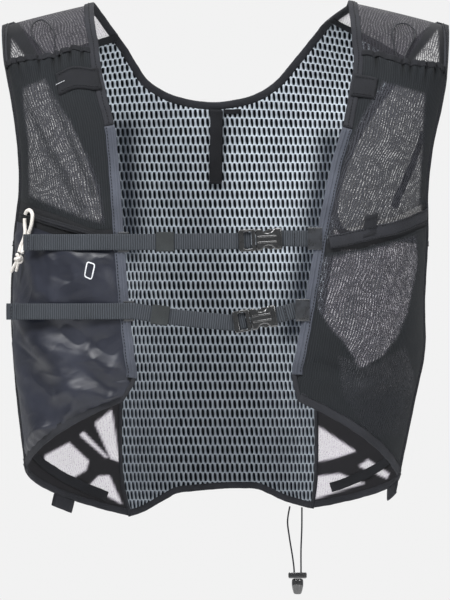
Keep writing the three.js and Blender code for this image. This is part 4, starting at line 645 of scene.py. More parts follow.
# %% The fronts
# Columns: inner across, down, forward, then outer across, down, forward
FRONT_TABLES = {
    "left": np.array([
        (-0.578, 0.014, -0.46, -0.987, 0.050, -0.30), (-0.582, -0.024, 0.00, -0.991, 0.020, 0.00),
        (-0.578, 0.014, 0.46, -0.987, 0.050, 0.30), (-0.560, 0.060, 0.70, -0.978, 0.094, 0.44),
        (-0.551, 0.098, 0.82, -0.964, 0.126, 0.51), (-0.524, 0.160, 0.92, -0.938, 0.190, 0.54),
        (-0.489, 0.222, 0.97, -0.916, 0.270, 0.52), (-0.471, 0.300, 0.99, -0.911, 0.350, 0.40),
        (-0.449, 0.438, 1.02, -0.933, 0.440, 0.20), (-0.427, 0.570, 1.02, -0.947, 0.570, 0.14),
        (-0.404, 0.670, 1.00, -0.938, 0.670, 0.14), (-0.393, 0.726, 0.97, -0.920, 0.770, 0.14),
        (-0.450, 0.772, 0.95, -0.884, 0.906, 0.17)]),
    "right": np.array([
        (0.552, 0.014, -0.46, 0.991, 0.060, -0.30), (0.545, -0.019, 0.00, 0.995, 0.019, 0.00),
        (0.556, 0.014, 0.46, 0.991, 0.060, 0.30), (0.564, 0.060, 0.70, 0.985, 0.100, 0.44),
        (0.569, 0.098, 0.82, 0.976, 0.142, 0.51), (0.547, 0.160, 0.92, 0.953, 0.196, 0.54),
        (0.520, 0.224, 0.97, 0.920, 0.262, 0.52), (0.471, 0.300, 0.99, 0.898, 0.350, 0.40),
        (0.407, 0.438, 1.02, 0.898, 0.442, 0.20), (0.356, 0.570, 1.02, 0.884, 0.570, 0.14),
        (0.320, 0.660, 1.00, 0.884, 0.670, 0.14), (0.297, 0.718, 0.97, 0.842, 0.766, 0.14),
        (0.322, 0.772, 0.95, 0.769, 0.926, 0.17)]),
}


def front_form(table, facing):
    def raw(u, v):
        inner, inner_down, inner_forward, outer, outer_down, outer_forward = np.moveaxis(
            through(table, v + 1), -1, 0)
        near, bend, far = (1 - u) ** 2, 2 * u * (1 - u), u * u
        across = near * inner + bend * mix(inner, outer, 0.85) + far * outer
        down = near * inner_down + bend * (inner_down + outer_down) / 2 + far * outer_down
        forward = near * inner_forward + bend * inner_forward * 1.03 + far * outer_forward
        return np.stack([across * HALF_WIDTH, -forward * HALF_DEPTH, -down * WORN_LENGTH], -1)

    def at(u, v):
        u, v = np.broadcast_arrays(np.asarray(u, float), np.asarray(v, float))
        p = raw(u, v)
        fade = np.maximum(0, 1 - v * v) ** 2
        top = raw(u, np.zeros_like(v))
        left, right = back.at(0, 0)[0], back.at(1, 0)[0]
        shoulder = back.at((top[..., 0] - left) / (right - left), 0)[..., 2]
        p[..., 2] += (shoulder - top[..., 2]) * fade
        return p

    return Form(at, facing, len(table) - 2)


fronts = {"left": front_form(FRONT_TABLES["left"], 1), "right": front_form(FRONT_TABLES["right"], -1)}

# %% The sides
HEM_DOWN = {"left": 1.004, "right": 0.988}


def side_form(hand):
    edge, front = (0.0 if hand == "left" else 1.0), fronts[hand]
    back_top, back_end = back.row_at(edge, 0.43), back.row_at(edge, HEM_DOWN[hand])
    front_top = front.row_at(1, 0.45)

    def at(u, v):
        u, v = np.broadcast_arrays(np.asarray(u, float), np.asarray(v, float))
        inner, outer = back.at(edge, mix(back_top, back_end, v)), front.at(1.0, mix(front_top, front.last, v))
        corner = np.stack([outer[..., 0], mix(outer[..., 1], inner[..., 1], 0.75),
                           (inner[..., 2] + outer[..., 2]) / 2], -1)
        share = u[..., None]
        return inner * (1 - share) ** 2 + corner * 2 * share * (1 - share) + outer * share * share

    form = Form(at, -1 if hand == "left" else 1, 1)
    form.back_top = back_top
    return form


sides = {hand: side_form(hand) for hand in ("left", "right")}
HANDS = {"left": 1, "right": -1}
print("forms: back, fronts, sides; back top row", round(sides["left"].back_top, 2))

# %% [markdown]
# ## The air mesh of the back
# The back is a spacer knit: rows of long slots, each row half a slot to the side of the one above, with
# soft grey-blue yarn between them and a dark layer behind. A bump map would look flat here, because the
# slots are 2 mm deep in a cloth of 4 mm. So each slot is one small brick of real mesh: the
# brick's edge is the crest of the yarn, and the rings inside it roll down into the slot. The bricks
# share their edges, so the whole face is one lattice.

# %% Outlines on the back
NECKLINE = np.array([(-0.579, -0.024), (-0.445, 0.059), (-0.394, 0.096), (-0.338, 0.131), (-0.235, 0.158),
                     (-0.107, 0.171), (0, 0.171), (0.128, 0.158), (0.222, 0.132), (0.287, 0.099),
                     (0.382, 0.047), (0.446, 0.013), (0.545, -0.019)])
BACK_HEM = np.array([
    (-0.422, 1.004), (-0.362, 0.995), (-0.267, 0.971), (-0.209, 0.958), (-0.107, 0.953), (0, 0.949),
    (0.128, 0.949), (0.191, 0.958), (0.255, 0.972), (0.344, 0.984), (0.384, 0.988)])
NECK_LAST, HEM_LAST = len(NECKLINE) - 1, len(BACK_HEM) - 1
SEAM_ON_NECK = {"left": 0.75, "right": NECK_LAST - 0.75}
neck_share = np.linspace(0, NECK_LAST, 161)
neck_places = through(NECKLINE, neck_share)
neck_u, neck_v = back.locate(neck_places[1:-1, 0], neck_places[1:-1, 1])
shoulder_left, shoulder_right = back.at(0, 0)[0], back.at(1, 0)[0]
end_u = (NECKLINE[[0, -1], 0] * HALF_WIDTH - shoulder_left) / (shoulder_right - shoulder_left)
neck_u = np.concatenate([[end_u[0]], neck_u, [end_u[1]]])
neck_v = np.concatenate([[0.0], np.maximum(neck_v, 0), [0.0]])
hem_u, hem_v = back.locate(*through(BACK_HEM, np.linspace(0, HEM_LAST, 101)).T)
yoke_end = back.row_at(0, 0.094)
seam_inner = {hand: (np.interp(SEAM_ON_NECK[hand], neck_share, neck_u),
                     np.interp(SEAM_ON_NECK[hand], neck_share, neck_v)) for hand in HANDS}
back_edge = {"left": 0.0, "right": 1.0}


def seam_places(hand, count=12):
    t = np.linspace(0, 1, count)
    return mix(back_edge[hand], seam_inner[hand][0], t), mix(yoke_end, seam_inner[hand][1], t)


def flat_ring(points):
    return points[:, [0, 2]]


middle_neck = (neck_share >= SEAM_ON_NECK["left"]) & (neck_share <= SEAM_ON_NECK["right"])
ring = np.concatenate([
    flat_ring(back.at(neck_u[middle_neck], neck_v[middle_neck])),
    flat_ring(back.at(*seam_places("right")))[::-1],
    flat_ring(back.at(1.0, np.linspace(yoke_end, back.row_at(1, HEM_DOWN["right"]), 90))),
    flat_ring(back.at(hem_u, hem_v))[::-1],
    flat_ring(back.at(0.0, np.linspace(yoke_end, back.row_at(0, HEM_DOWN["left"]), 90)))[::-1],
    flat_ring(back.at(*seam_places("left")))])


def inside_ring(points, outline):
    result = np.zeros(len(points), bool)
    for (x0, z0), (x1, z1) in zip(outline, np.roll(outline, -1, axis=0)):
        if z0 != z1:
            crosses = (z0 > points[:, 1]) != (z1 > points[:, 1])
            result ^= crosses & (points[:, 0] < (x1 - x0) * (points[:, 1] - z0) / (z1 - z0) + x0)
    return result


def nearest_on_line(points, outline, closed=True):
    best, place = np.full(len(points), np.inf), np.zeros_like(points)
    ends = np.roll(outline, -1, axis=0) if closed else outline[1:]
    for start, end in zip(outline, ends):
        way = end - start
        share = np.clip(((points - start) @ way) / max(way @ way, 1e-12), 0, 1)
        near = start + share[:, None] * way
        distance = np.linalg.norm(points - near, axis=1)
        closer = distance < best
        best[closer], place[closer] = distance[closer], near[closer]
    return best, place


def distance_to_line(points, outline, closed=True):
    return nearest_on_line(points, outline, closed)[0]


def smooth_step(value, low, high):
    t = np.clip((value - low) / (high - low), 0, 1)
    return t * t * (3 - 2 * t)


# %% From lengths along the cloth to places on the back
row_table = np.linspace(-0.2, back.last + 0.2, 700)
middle_line = back.at(0.5, row_table)
down_table = arc_lengths(middle_line)
across_table = np.linspace(-0.01, 1.01, 161)


def cloth_place(across, down):
    """across and down are lengths along the cloth, from its middle line and from its top."""
    rows, group = np.unique(np.round(down, 6), return_inverse=True)
    u, v = np.zeros(len(across)), np.interp(rows, down_table, row_table)
    for index, row in enumerate(v):
        line = back.at(across_table, row)
        arcs = arc_lengths(line)
        zero = np.interp(0.0, line[:, 0], arcs)
        chosen = group == index
        u[chosen] = np.interp(across[chosen] + zero, arcs, across_table)
    return u, v[group]


# %% Creases and channels of the back, as shares across and down, with a depth in millimetres
BACK_CREASES = [
    ([(-0.191, 0.44), (-0.307, 0.53), (-0.387, 0.566)], 1.4, 0.006),
    ([(0.169, 0.496), (0.204, 0.524), (0.342, 0.566)], 1.3, 0.006),
    ([(-0.324, 0.768), (-0.213, 0.74), (-0.067, 0.722), (0.111, 0.726), (0.289, 0.77)], 1.0, 0.008),
    ([(-0.200, 0.20), (-0.200, 0.55), (-0.215, 0.93)], 0.7, 0.0035),
    ([(0.107, 0.20), (0.107, 0.55), (0.12, 0.93)], 0.7, 0.0035)]


def shares_ring(table):
    return np.array([(a * HALF_WIDTH, -d * WORN_LENGTH) for a, d in table])


def crease_depth(flat, creases):
    depth = np.zeros(len(flat))
    for line, amount, width in creases:
        depth += amount * MM * np.exp(-(distance_to_line(flat, shares_ring(line), closed=False) / width) ** 2)
    return depth


# %% The lattice of slots
PITCH_ACROSS = 4.55 * MM
PITCH_DOWN = 8.45 * MM
BRICK = np.array([(0, -1), (1, -1), (1, -0.5), (1, 0), (1, 0.5), (1, 1), (0, 1), (-1, 1), (-1, 0.5), (-1, 0),
                  (-1, -0.5), (-1, -1)], float)
SLOT = np.array([(0, -1), (0.55, -0.82), (0.95, -0.42), (1, 0), (0.95, 0.42), (0.55, 0.82), (0, 1),
                 (-0.55, 0.82), (-0.95, 0.42), (-1, 0), (-0.95, -0.42), (-0.55, -0.82)])

# Where the fronts stand close over the back, its yarn lies in their shade
SHADED = [[(-0.45, 0.23), (-0.425, 0.47)], [(0.47, 0.26), (0.31, 0.63)]]


def lattice(name, side, rings, slot_width, slot_height, seed):
    draws = np.random.default_rng(seed)
    rows = int(down_table[-1] / PITCH_DOWN) + 1
    columns = int(0.36 / PITCH_ACROSS)
    row, column = (grid.ravel() for grid in np.mgrid[0:rows, -columns // 2:columns // 2])
    centre = np.stack([(column + 0.5 * (row % 2)) * PITCH_ACROSS, (row + 0.5) * PITCH_DOWN], 1)
    u, v = cloth_place(centre[:, 0], centre[:, 1])
    kept = inside_ring(flat_ring(back.at(u, v)), ring) & (u > 0.001) & (u < 0.999)
    centre = centre[kept]
    widths = slot_width * draws.uniform(0.88, 1.12, len(centre))
    slants = draws.normal(-0.10, 0.03, len(centre))
    outer = BRICK * (PITCH_ACROSS / 2, PITCH_DOWN / 2)
    layers = []
    for share, height, narrow in rings:
        hole = np.stack([SLOT[None, :, 0] * widths[:, None] * narrow
                         - slants[:, None] * SLOT[None, :, 1] * slot_height,
                         np.broadcast_to(SLOT[None, :, 1] * slot_height * narrow, (len(centre), 12))], -1)
        shape = mix(outer[None], hole, share)
        layers.append(np.concatenate([centre[:, None] + shape,
                                      np.full((len(centre), 12, 1), height)], -1))
    places = np.stack(layers, 1).reshape(-1, 3)
    unique, index = np.unique(np.round(places, 7), axis=0, return_inverse=True)
    index = index.reshape(len(centre), len(rings), 12)
    following = np.roll(index, -1, axis=2)
    faces = np.stack([index[:, :-1], following[:, :-1], following[:, 1:], index[:, 1:]], -1).reshape(-1, 4)
    faces = faces[[len(set(face)) == 4 for face in faces.tolist()]]
    u, v = cloth_place(unique[:, 0], unique[:, 1])
    points = back.at(u, v)
    flat = flat_ring(points)
    edge, border = nearest_on_line(flat, ring)
    outside = ~inside_ring(flat, ring)
    points[outside, 0], points[outside, 2] = border[outside, 0], border[outside, 1]
    taper = np.where(outside, 0.2, mix(0.2, 1.0, smooth_step(edge, 0.003, 0.011)))
    low, high = min(r[1] for r in rings), max(r[1] for r in rings)
    # Painted light and shade in the yarn's tone: a painted highlight on the crests and where the rows meet,
    # and painted shade down in the slots, towards the bottom and beside the fronts.
    crest_light_and_shade = smooth_step(unique[:, 2], mix(low, high, 0.35), high)
    crest_light_and_shade = crest_light_and_shade * (0.74 + 0.26 * np.cos(math.pi * unique[:, 1] / PITCH_DOWN) ** 2)
    shade = 1 - 0.5 * smooth_step(-flat[:, 1], 0.16, 0.42)
    for line in SHADED:
        away = distance_to_line(flat, shares_ring(line), closed=False)
        shade = shade * (1 - 0.85 * np.exp(-(away / 0.014) ** 2))
    lift = side * (0.0012 + unique[:, 2]) * taper + crease_depth(flat, BACK_CREASES) * taper
    points = points + back.normal(u, v) * lift[:, None]
    print(name, len(centre), "slots,", len(faces) * 2, "triangles")
    return points, faces, unique[:, :2] * 1000, crest_light_and_shade * shade


INNER_RINGS = [(0.0, 0.00085, 1.0), (0.42, 0.00070, 1.0), (0.9, 0.00005, 1.0), (1.0, -0.0010, 0.97)]
OUTER_RINGS = [(0.0, 0.0008, 1.0), (0.7, 0.0007, 1.0), (1.0, -0.0006, 1.0)]
# The yarn's tone follows the lattice's painted crest highlights and painted shade.
air_yarn = cloth("air_yarn", "1c2431", "ebf5ff", rough=0.7, pattern=ribs, pitch=0.55, relief=0.00012,
                 fade=0.25, fluff_size=0.4, fluff_share=0.45, light_and_shade_attribute="crest_light_and_shade")
air_dark = cloth("air_dark", "05070a", "10151b", rough=0.9, pattern=weave, pitch=0.8, relief=0.0001)

# %% The two faces of the air mesh and the dark layer between them
def back_face(name, side, rings, width, height, seed):
    points, faces, uv, crest_light_and_shade = lattice(name, side, rings, width, height, seed)
    return piece(name, points, faces, air_yarn, uv, marks={"crest_light_and_shade": crest_light_and_shade})


inner_face = back_face("air_mesh_inner", -1, INNER_RINGS, 0.00104, 0.00405, 3)
outer_face = back_face("air_mesh_outer", 1, OUTER_RINGS, 0.00108, 0.00400, 4)

top_line = np.concatenate([np.stack(seam_places("left", 8), 1)[:-1],
                           np.stack([neck_u[middle_neck], neck_v[middle_neck]], 1)[::4],
                           np.stack(seam_places("right", 8), 1)[::-1][1:]])
core_count = len(top_line)
end_line = np.stack([np.interp(np.linspace(0, 100, core_count), np.arange(101), hem_u),
                     np.interp(np.linspace(0, 100, core_count), np.arange(101), hem_v)], 1)
core_share = np.linspace(0, 1, 97)[:, None]
core_v = mix(top_line[None, :, 1], end_line[None, :, 1], core_share)
core_u = mix(top_line[None, :, 0], end_line[None, :, 0], core_share)
core_points = back.at(core_u, core_v)
core_points = core_points + back.normal(core_u, core_v) * crease_depth(
    flat_ring(core_points.reshape(-1, 3)), BACK_CREASES).reshape(core_u.shape)[..., None]
core_uv = np.stack([(core_u - 0.5) * 250, core_v * 32], -1)
air_core = piece("air_mesh_core", core_points, quads(97, core_count), air_dark, core_uv,
                 ["back_panel"])


# %% Printing the size that a sheet was cut to
def cut_size(points):
    width = max(arc_lengths(row)[-1] for row in points)
    length = max(arc_lengths(points[:, column])[-1] for column in range(points.shape[1]))
    a, b = points[1:, 1:] - points[:-1, :-1], points[1:, :-1] - points[:-1, 1:]
    area = float(np.linalg.norm(np.cross(a, b), axis=-1).sum() / 2)
    return float(width), float(length), area


def declare_sheet(made, points):
    width, length, area = cut_size(points)
    area = min(area, width * length)
    print(made.name, "cut", round(width * 1000), "x", round(length * 1000), "mm, area",
          round(area * 1e4), "cm2")


declare_sheet(air_core, core_points)

# %% [markdown]
# ## Sheer mesh: yokes, sides and fronts
# The shoulders, the sides and the fronts are one thin knit with tiny holes. One layer is a pale veil, and
# two layers together give a grain of light flecks. Real holes this small would be finer than the picture
# can show, so the cloth is a plain sheet, and its alpha carries the holes and flecks. A painted value says
# how open the cloth is. Where it is low, the cloth is dark and shuts out the light: in part for other dark
# layers behind it, and in part as painted shade of the vest's inside seen through the mesh.

# %% Finishes of the sheer mesh
veil = cloth("sheer_veil", "7d7385", "b3a4bb", rough=0.8, pattern=ribs, pitch=1.1, relief=0.00006,
             fade=0.3, open_share=0.66, holes={"Size": 0.75, "Share": 0.74, "Bands": 0.35}, solid_floor=0.34,
             closed=("060708", "191a1d"))
front_knit = cloth("front_knit", "17171a", "3b3a40", rough=0.8, pattern=ribs, pitch=1.3, relief=0.00006,
                   fade=0.3, open_share=0.82, holes={"Size": 0.8, "Share": 0.475, "Bands": 0.40},
                   solid_floor=0.08, closed=("121315", "2a2b2e"))


def painted_open(points, windows, base, edge=0.0025):
    flat = flat_ring(points.reshape(-1, 3))
    value = np.full(len(flat), float(base))
    for table, amount in windows:
        outline = shares_ring(table)
        distance = distance_to_line(flat, outline) * np.where(inside_ring(flat, outline), 1, -1)
        value = mix(value, amount, smooth_step(distance, -edge / 2, edge / 2))
    return value


def sheet_on(name, form, u, v, material, replaced, lift=0.0, marks=None):
    points = form.at(u, v) + form.normal(u, v) * np.asarray(lift)[..., None]
    rows = np.array([arc_lengths(row) for row in points])
    columns = np.array([arc_lengths(points[:, k]) for k in range(points.shape[1])]).T
    uv = np.stack([rows, columns], -1) * 1000
    values = {key: paint(points) if callable(paint) else paint for key, paint in (marks or {}).items()}
    made = piece(name, points, quads(*points.shape[:2]), material, uv, replaced, marks=values)
    return made, points


# %% Yokes, with the places where only one layer is left or where strips lie behind
ONE_LAYER = {"left": [(-0.94, 0.062), (-0.942, 0.094), (-0.876, 0.09)],
             "right": [(0.940, 0.037), (0.82, 0.098), (0.94, 0.103)]}
NECK_CORNER = {"left": [(-0.60, -0.02), (-0.575, 0.06), (-0.44, 0.06)],
               "right": [(0.60, -0.02), (0.565, 0.075), (0.40, 0.05)]}
SHOULDER_STRIP = {
    "left": [(-1.0, 0.01), (-0.925, 0.01), (-0.80, 0.10), (-0.86, 0.10), (-0.945, 0.05), (-0.95, 0.12),
             (-1.0, 0.12)],
    "right": [(1.0, 0.01), (0.925, 0.01), (0.79, 0.10), (0.825, 0.10), (0.945, 0.03), (0.95, 0.12),
              (1.0, 0.12)]}
for hand in HANDS:
    stations = np.linspace(0, 1, 30)
    yoke_share = stations * SEAM_ON_NECK["left"]
    on_neck = yoke_share if hand == "left" else NECK_LAST - yoke_share
    inner_u, inner_v = np.interp(on_neck, neck_share, neck_u), np.interp(on_neck, neck_share, neck_v)
    t = np.linspace(0.01, 0.99, 34)[None, :]
    u = mix(np.full((30, 1), back_edge[hand]), inner_u[:, None], t)
    v = mix((stations * yoke_end)[:, None], inner_v[:, None], t)
    made, points = sheet_on(f"yoke_mesh_{hand}", back, u, v, veil, [f"shoulder_yoke_{hand}"],
                            marks={"open": lambda p: painted_open(
                                p, [(ONE_LAYER[hand], 1.0), (NECK_CORNER[hand], 1.0)], 0.42)})
    declare_sheet(made, points)

# %% Sides: open windows near the hem, closed cloth round them
SIDE_WINDOWS = {
    "left": [[(-0.802, 0.882), (-0.694, 0.856), (-0.607, 0.893), (-0.619, 0.911), (-0.679, 0.927),
              (-0.804, 0.898)],
             [(-0.647, 0.841), (-0.631, 0.834), (-0.524, 0.884), (-0.529, 0.887)],
             [(-0.58, 0.817), (-0.506, 0.791), (-0.468, 0.895), (-0.51, 0.888)],
             [(-0.607, 0.943), (-0.564, 0.923), (-0.516, 0.922), (-0.46, 0.979)]],
    "right": [[(0.419, 0.824), (0.582, 0.873), (0.498, 0.886), (0.415, 0.894), (0.409, 0.856)],
              [(0.637, 0.89), (0.731, 0.918), (0.72, 0.927), (0.596, 0.903)],
              [(0.407, 0.924), (0.511, 0.918), (0.621, 0.937), (0.403, 0.968)]]}
for hand in HANDS:
    v, u = np.meshgrid(np.linspace(0.002, 0.998, 110), np.linspace(0.0, 0.995, 90), indexing="ij")

    def side_open(points, hand=hand):
        low = painted_open(points, [(table, 1.0) for table in SIDE_WINDOWS[hand]], 0.015)
        upper = smooth_step(points[..., 2].ravel(), -0.36, -0.33)
        return np.maximum(low, upper * 0.9)

    made, points = sheet_on(f"side_mesh_{hand}", sides[hand], u, v, veil,
                            [f"side_panel_{hand}"], marks={"open": side_open})
    declare_sheet(made, points)

# %% Fronts, open only where the picture shows light through both layers
UPPER_WINDOW = {
    "left": [(-0.893, 0.148), (-0.796, 0.130), (-0.764, 0.162), (-0.689, 0.212), (-0.604, 0.29),
             (-0.556, 0.346),
             (-0.536, 0.416), (-0.624, 0.406), (-0.766, 0.382), (-0.867, 0.362), (-0.871, 0.256),
             (-0.893, 0.174)],
    "right": [(0.70, 0.135), (0.61, 0.205), (0.551, 0.256), (0.511, 0.32), (0.467, 0.384), (0.458, 0.440),
              (0.64, 0.428), (0.78, 0.412), (0.86, 0.39), (0.87, 0.30), (0.885, 0.16)]}
LOWER_WINDOW = [(0.467, 0.484), (0.431, 0.484), (0.404, 0.54), (0.413, 0.59), (0.467, 0.626), (0.529, 0.656),
                (0.6, 0.706), (0.702, 0.68), (0.764, 0.642), (0.809, 0.594), (0.853, 0.5), (0.849, 0.442),
                (0.644, 0.47)]
ABOVE_POCKET = {"left": [(-1.1, -0.1), (-0.4, -0.1), (-0.5, 0.09), (-1.1, 0.11)],
                "right": [(0.4, -0.1), (1.1, -0.1), (1.1, 0.12), (0.5, 0.09)]}
FRONT_OPEN = {hand: [(ABOVE_POCKET[hand], 0.95 if hand == "left" else 0.87), (ONE_LAYER[hand], 1.2),
                     (SHOULDER_STRIP[hand], 0.0), (UPPER_WINDOW[hand], 1.0)] for hand in HANDS}
THIN_PLACE = [(0.50, 0.68), (0.66, 0.70), (0.80, 0.66), (0.84, 0.72), (0.80, 0.84), (0.64, 0.84),
              (0.52, 0.76)]
ABOVE_BAND = [(0.44, 0.422), (0.62, 0.412), (0.76, 0.398), (0.87, 0.376), (0.87, 0.40), (0.78, 0.42),
              (0.64, 0.44), (0.44, 0.455)]
FRONT_OPEN["right"] += [(ABOVE_BAND, 0.5), (THIN_PLACE, 0.8), (LOWER_WINDOW, 1.5)]
TAPE_WIDTH = 0.0092
ARM_TAPE = 0.0065
RAIL_ENDS = {"left": (0.222, 0.726), "right": (0.226, 0.718)}
for hand, front in fronts.items():
    v = np.linspace(0.0, front.last - 0.02, 150)
    low, high = front.inset(0, v, 0.0015), front.inset(1, v, 0.0015)
    u = mix(low[:, None], high[:, None], np.linspace(0, 1, 64)[None, :])
    made, points = sheet_on(f"front_mesh_{hand}", front, u, np.repeat(v[:, None], 64, 1), front_knit,
                            [f"front_panel_{hand}"],
                            marks={"open": lambda p, hand=hand: painted_open(p, FRONT_OPEN[hand], 0.02)})
    declare_sheet(made, points)

# %% [markdown]
# ## Pockets
# Each front carries two pockets. The upper ones are stretch mesh with a gathered elastic top, for a soft
# flask; the lower left one is thin coated nylon that wrinkles and shines; the lower right one is stretch
# mesh again. Their cloth is a dense grid over the front, raised by a puff, by the pleats of the elastic
# and by folds placed by hand. Nylon needs folds of real mesh, because its shine shows each one.

# %% Pocket outlines, as shares across and down
POCKETS = {
    "left": {
        "upper_top": [(-0.56, 0.070), (-0.655, 0.070), (-0.76, 0.086), (-0.84, 0.090), (-0.94, 0.096)],
        "upper_end": [(-0.46, 0.427), (-0.55, 0.428), (-0.72, 0.402), (-0.85, 0.384), (-0.91, 0.375)],
        "lower_top": [(-0.46, 0.470), (-0.55, 0.466), (-0.66, 0.450), (-0.755, 0.438), (-0.85, 0.424),
                      (-0.93, 0.412)]},
    "right": {
        "upper_top": [(0.60, 0.076), (0.68, 0.084), (0.76, 0.094), (0.84, 0.100), (0.94, 0.104)],
        "upper_end": [(0.43, 0.432), (0.555, 0.424), (0.66, 0.412), (0.76, 0.402), (0.85, 0.385),
                      (0.90, 0.376)],
        "lower_top": [(0.42, 0.476), (0.555, 0.470), (0.66, 0.458), (0.76, 0.446), (0.85, 0.430),
                      (0.91, 0.420)]}}
LIFT_OVER_FRONT = 0.0012
PUFF = 0.0030
PLEATS = {"left": (0.06, 0.16, 0.25, 0.31, 0.46, 0.72, 0.91), "right": (0.10, 0.34, 0.42, 0.60, 0.74, 0.90)}
PLEAT_RISE = 0.0034
PLEAT_LENGTH = 0.24


def row_reader(form, table):
    places = through(np.array(table), np.linspace(0, len(table) - 1, 80))
    u, v = form.locate(places[:, 0], places[:, 1])
    order = np.argsort(u)
    return lambda share: np.interp(share, u[order], v[order])


def tape_clear(hand, v):
    front = fronts[hand]
    rail_end = front.row_at(0, RAIL_ENDS[hand][1])
    below = np.clip((v - rail_end - 0.02) / (front.last - rail_end), 0, 1)
    return TAPE_WIDTH * (1 - np.sqrt(below))


def pocket_grid(hand, top, end, rows, columns):
    front = fronts[hand]
    s, t = np.meshgrid(np.linspace(0, 1, columns), np.linspace(0, 1, rows))
    v = mix(top(s), end(s), t)
    low = front.inset(0, v, np.maximum(tape_clear(hand, v) - 0.0012, 0.0008))
    high = front.inset(1, v, ARM_TAPE - 0.0012)
    return s, t, mix(low, high, s), v


def pleats(hand, s, t):
    strength = smooth_step(PLEAT_LENGTH - t, 0, PLEAT_LENGTH)
    valleys = sum(np.exp(-((s - place - 0.08 * t) / (0.013 + 0.05 * t)) ** 2) for place in PLEATS[hand])
    valleys = strength * np.minimum(valleys, 1)
    return PLEAT_RISE * strength * (1 - 0.96 * valleys) * (1 + 0.25 * np.sin(s * 57)), 1 - 0.9 * valleys


def border_lift(points_edge):
    return mix(0.0003, LIFT_OVER_FRONT, smooth_step(points_edge, 0.0, 0.006))


# %% Finishes of the pockets
pocket_knit = cloth("pocket_knit", "191a1d", "404147", rough=0.85, pattern=ribs, pitch=2.2, relief=0.0003,
                    fade=0.2, fluff_share=0.25, open_share=0.82,
                    holes={"Size": 0.85, "Share": 0.50, "Bands": 0.50}, solid_floor=0.08,
                    closed=("070808", "25282b"), light_and_shade_attribute="shade")
nylon = cloth("coated_nylon", "14161e", "292c38", rough=0.42, pattern=weave, pitch=0.35, relief=0.00002,
              fade=0.5, fluff_size=0.8, fluff_share=0.2, specular=0.42, crumpled=0.0030)
print("pocket finishes:", pocket_knit.name, nylon.name)

# %% Upper pockets; in long streaks the mesh is darker and less open
DARK_STREAKS = {
    "left": [([(-0.90, 0.165), (-0.885, 0.165), (-0.76, 0.27), (-0.61, 0.385), (-0.64, 0.40),
               (-0.78, 0.285)], 0.45),
             ([(-0.805, 0.135), (-0.785, 0.135), (-0.67, 0.25), (-0.565, 0.36), (-0.59, 0.365),
               (-0.69, 0.26)], 0.40)],
    "right": []}
pocket_tops = {}
pocket_meshes = {}
for hand, front in fronts.items():
    top, end = (row_reader(front, POCKETS[hand][key]) for key in ("upper_top", "upper_end"))
    s, t, u, v = pocket_grid(hand, top, end, 120, 260)
    puff = PUFF * np.sin(math.pi * s) * np.sin(math.pi * np.minimum(t + 0.12, 1))
    lift = border_lift(np.minimum(np.minimum(s, 1 - s) * 0.07, (1 - t) * 0.14)) + puff
    raised, shade = pleats(hand, s, t)
    lift = lift + raised * np.sin(math.pi * s) ** 0.3
    # Outside the window the knit stays closed: partly its own dark cloth, partly painted shade of the inside
    # behind it.
    window = [(UPPER_WINDOW[hand], 1.0), *DARK_STREAKS[hand]]
    made, points = sheet_on(f"upper_pocket_mesh_{hand}", front, u, v, pocket_knit,
                            [f"upper_pocket_{hand}"], lift,
                            {"open": lambda p: painted_open(p, window, 0.06, 0.005), "shade": shade})
    pocket_tops[hand] = (points[0], front.normal(u[0], v[0]))
    pocket_meshes[(hand, "upper")] = (made, points)
    declare_sheet(made, points)

# %% Lower pockets: nylon with folds on the left, stretch mesh on the right
# Each fold: a line of places (across, down), its height in millimetres and its half width in metres
NYLON_FOLDS = [
    ([(-0.90, 0.445), (-0.83, 0.50), (-0.80, 0.55)], 2.2, 0.008),
    ([(-0.80, 0.44), (-0.76, 0.50), (-0.75, 0.57)], 1.8, 0.007),
    ([(-0.62, 0.455), (-0.56, 0.478), (-0.47, 0.488)], 2.2, 0.006),
    ([(-0.70, 0.468), (-0.60, 0.50), (-0.50, 0.545)], 1.4, 0.010),
    ([(-0.88, 0.60), (-0.80, 0.66), (-0.70, 0.72), (-0.62, 0.76)], 3.4, 0.012),
    ([(-0.92, 0.66), (-0.87, 0.74), (-0.82, 0.84)], 2.2, 0.010),
    ([(-0.70, 0.63), (-0.60, 0.665), (-0.50, 0.665), (-0.43, 0.640)], -2.6, 0.009),
    ([(-0.60, 0.67), (-0.52, 0.71), (-0.44, 0.735)], 2.8, 0.009),
    ([(-0.44, 0.672), (-0.48, 0.70), (-0.43, 0.72)], 2.0, 0.005),
    ([(-0.72, 0.76), (-0.62, 0.745), (-0.52, 0.765), (-0.46, 0.765)], 2.6, 0.008),
    ([(-0.86, 0.87), (-0.80, 0.83), (-0.72, 0.835)], 2.0, 0.007),
    ([(-0.66, 0.84), (-0.68, 0.80), (-0.64, 0.77)], 2.0, 0.006),
    ([(-0.76, 0.87), (-0.78, 0.83)], 1.8, 0.005),
    ([(-0.58, 0.82), (-0.57, 0.79)], 1.6, 0.005)]
STRETCH_FOLDS = [
    ([(0.40, 0.70), (0.55, 0.72), (0.70, 0.745)], -1.2, 0.007),
    ([(0.62, 0.742), (0.72, 0.735), (0.80, 0.745)], 1.4, 0.006),
    ([(0.50, 0.555), (0.62, 0.565), (0.74, 0.555)], 0.9, 0.008),
    ([(0.45, 0.635), (0.60, 0.66), (0.78, 0.64)], 0.8, 0.010),
    ([(0.66, 0.46), (0.70, 0.50), (0.69, 0.54)], 1.0, 0.005)]


FOLD_STRENGTH = {"left": 1.9, "right": 1.5}
LOWER_WIDTH, LOWER_LENGTH = 0.08, 0.19
SMALL_WRINKLES = 46


def fold_height(points, folds):
    return crease_depth(flat_ring(points.reshape(-1, 3)), folds).reshape(points.shape[:2])


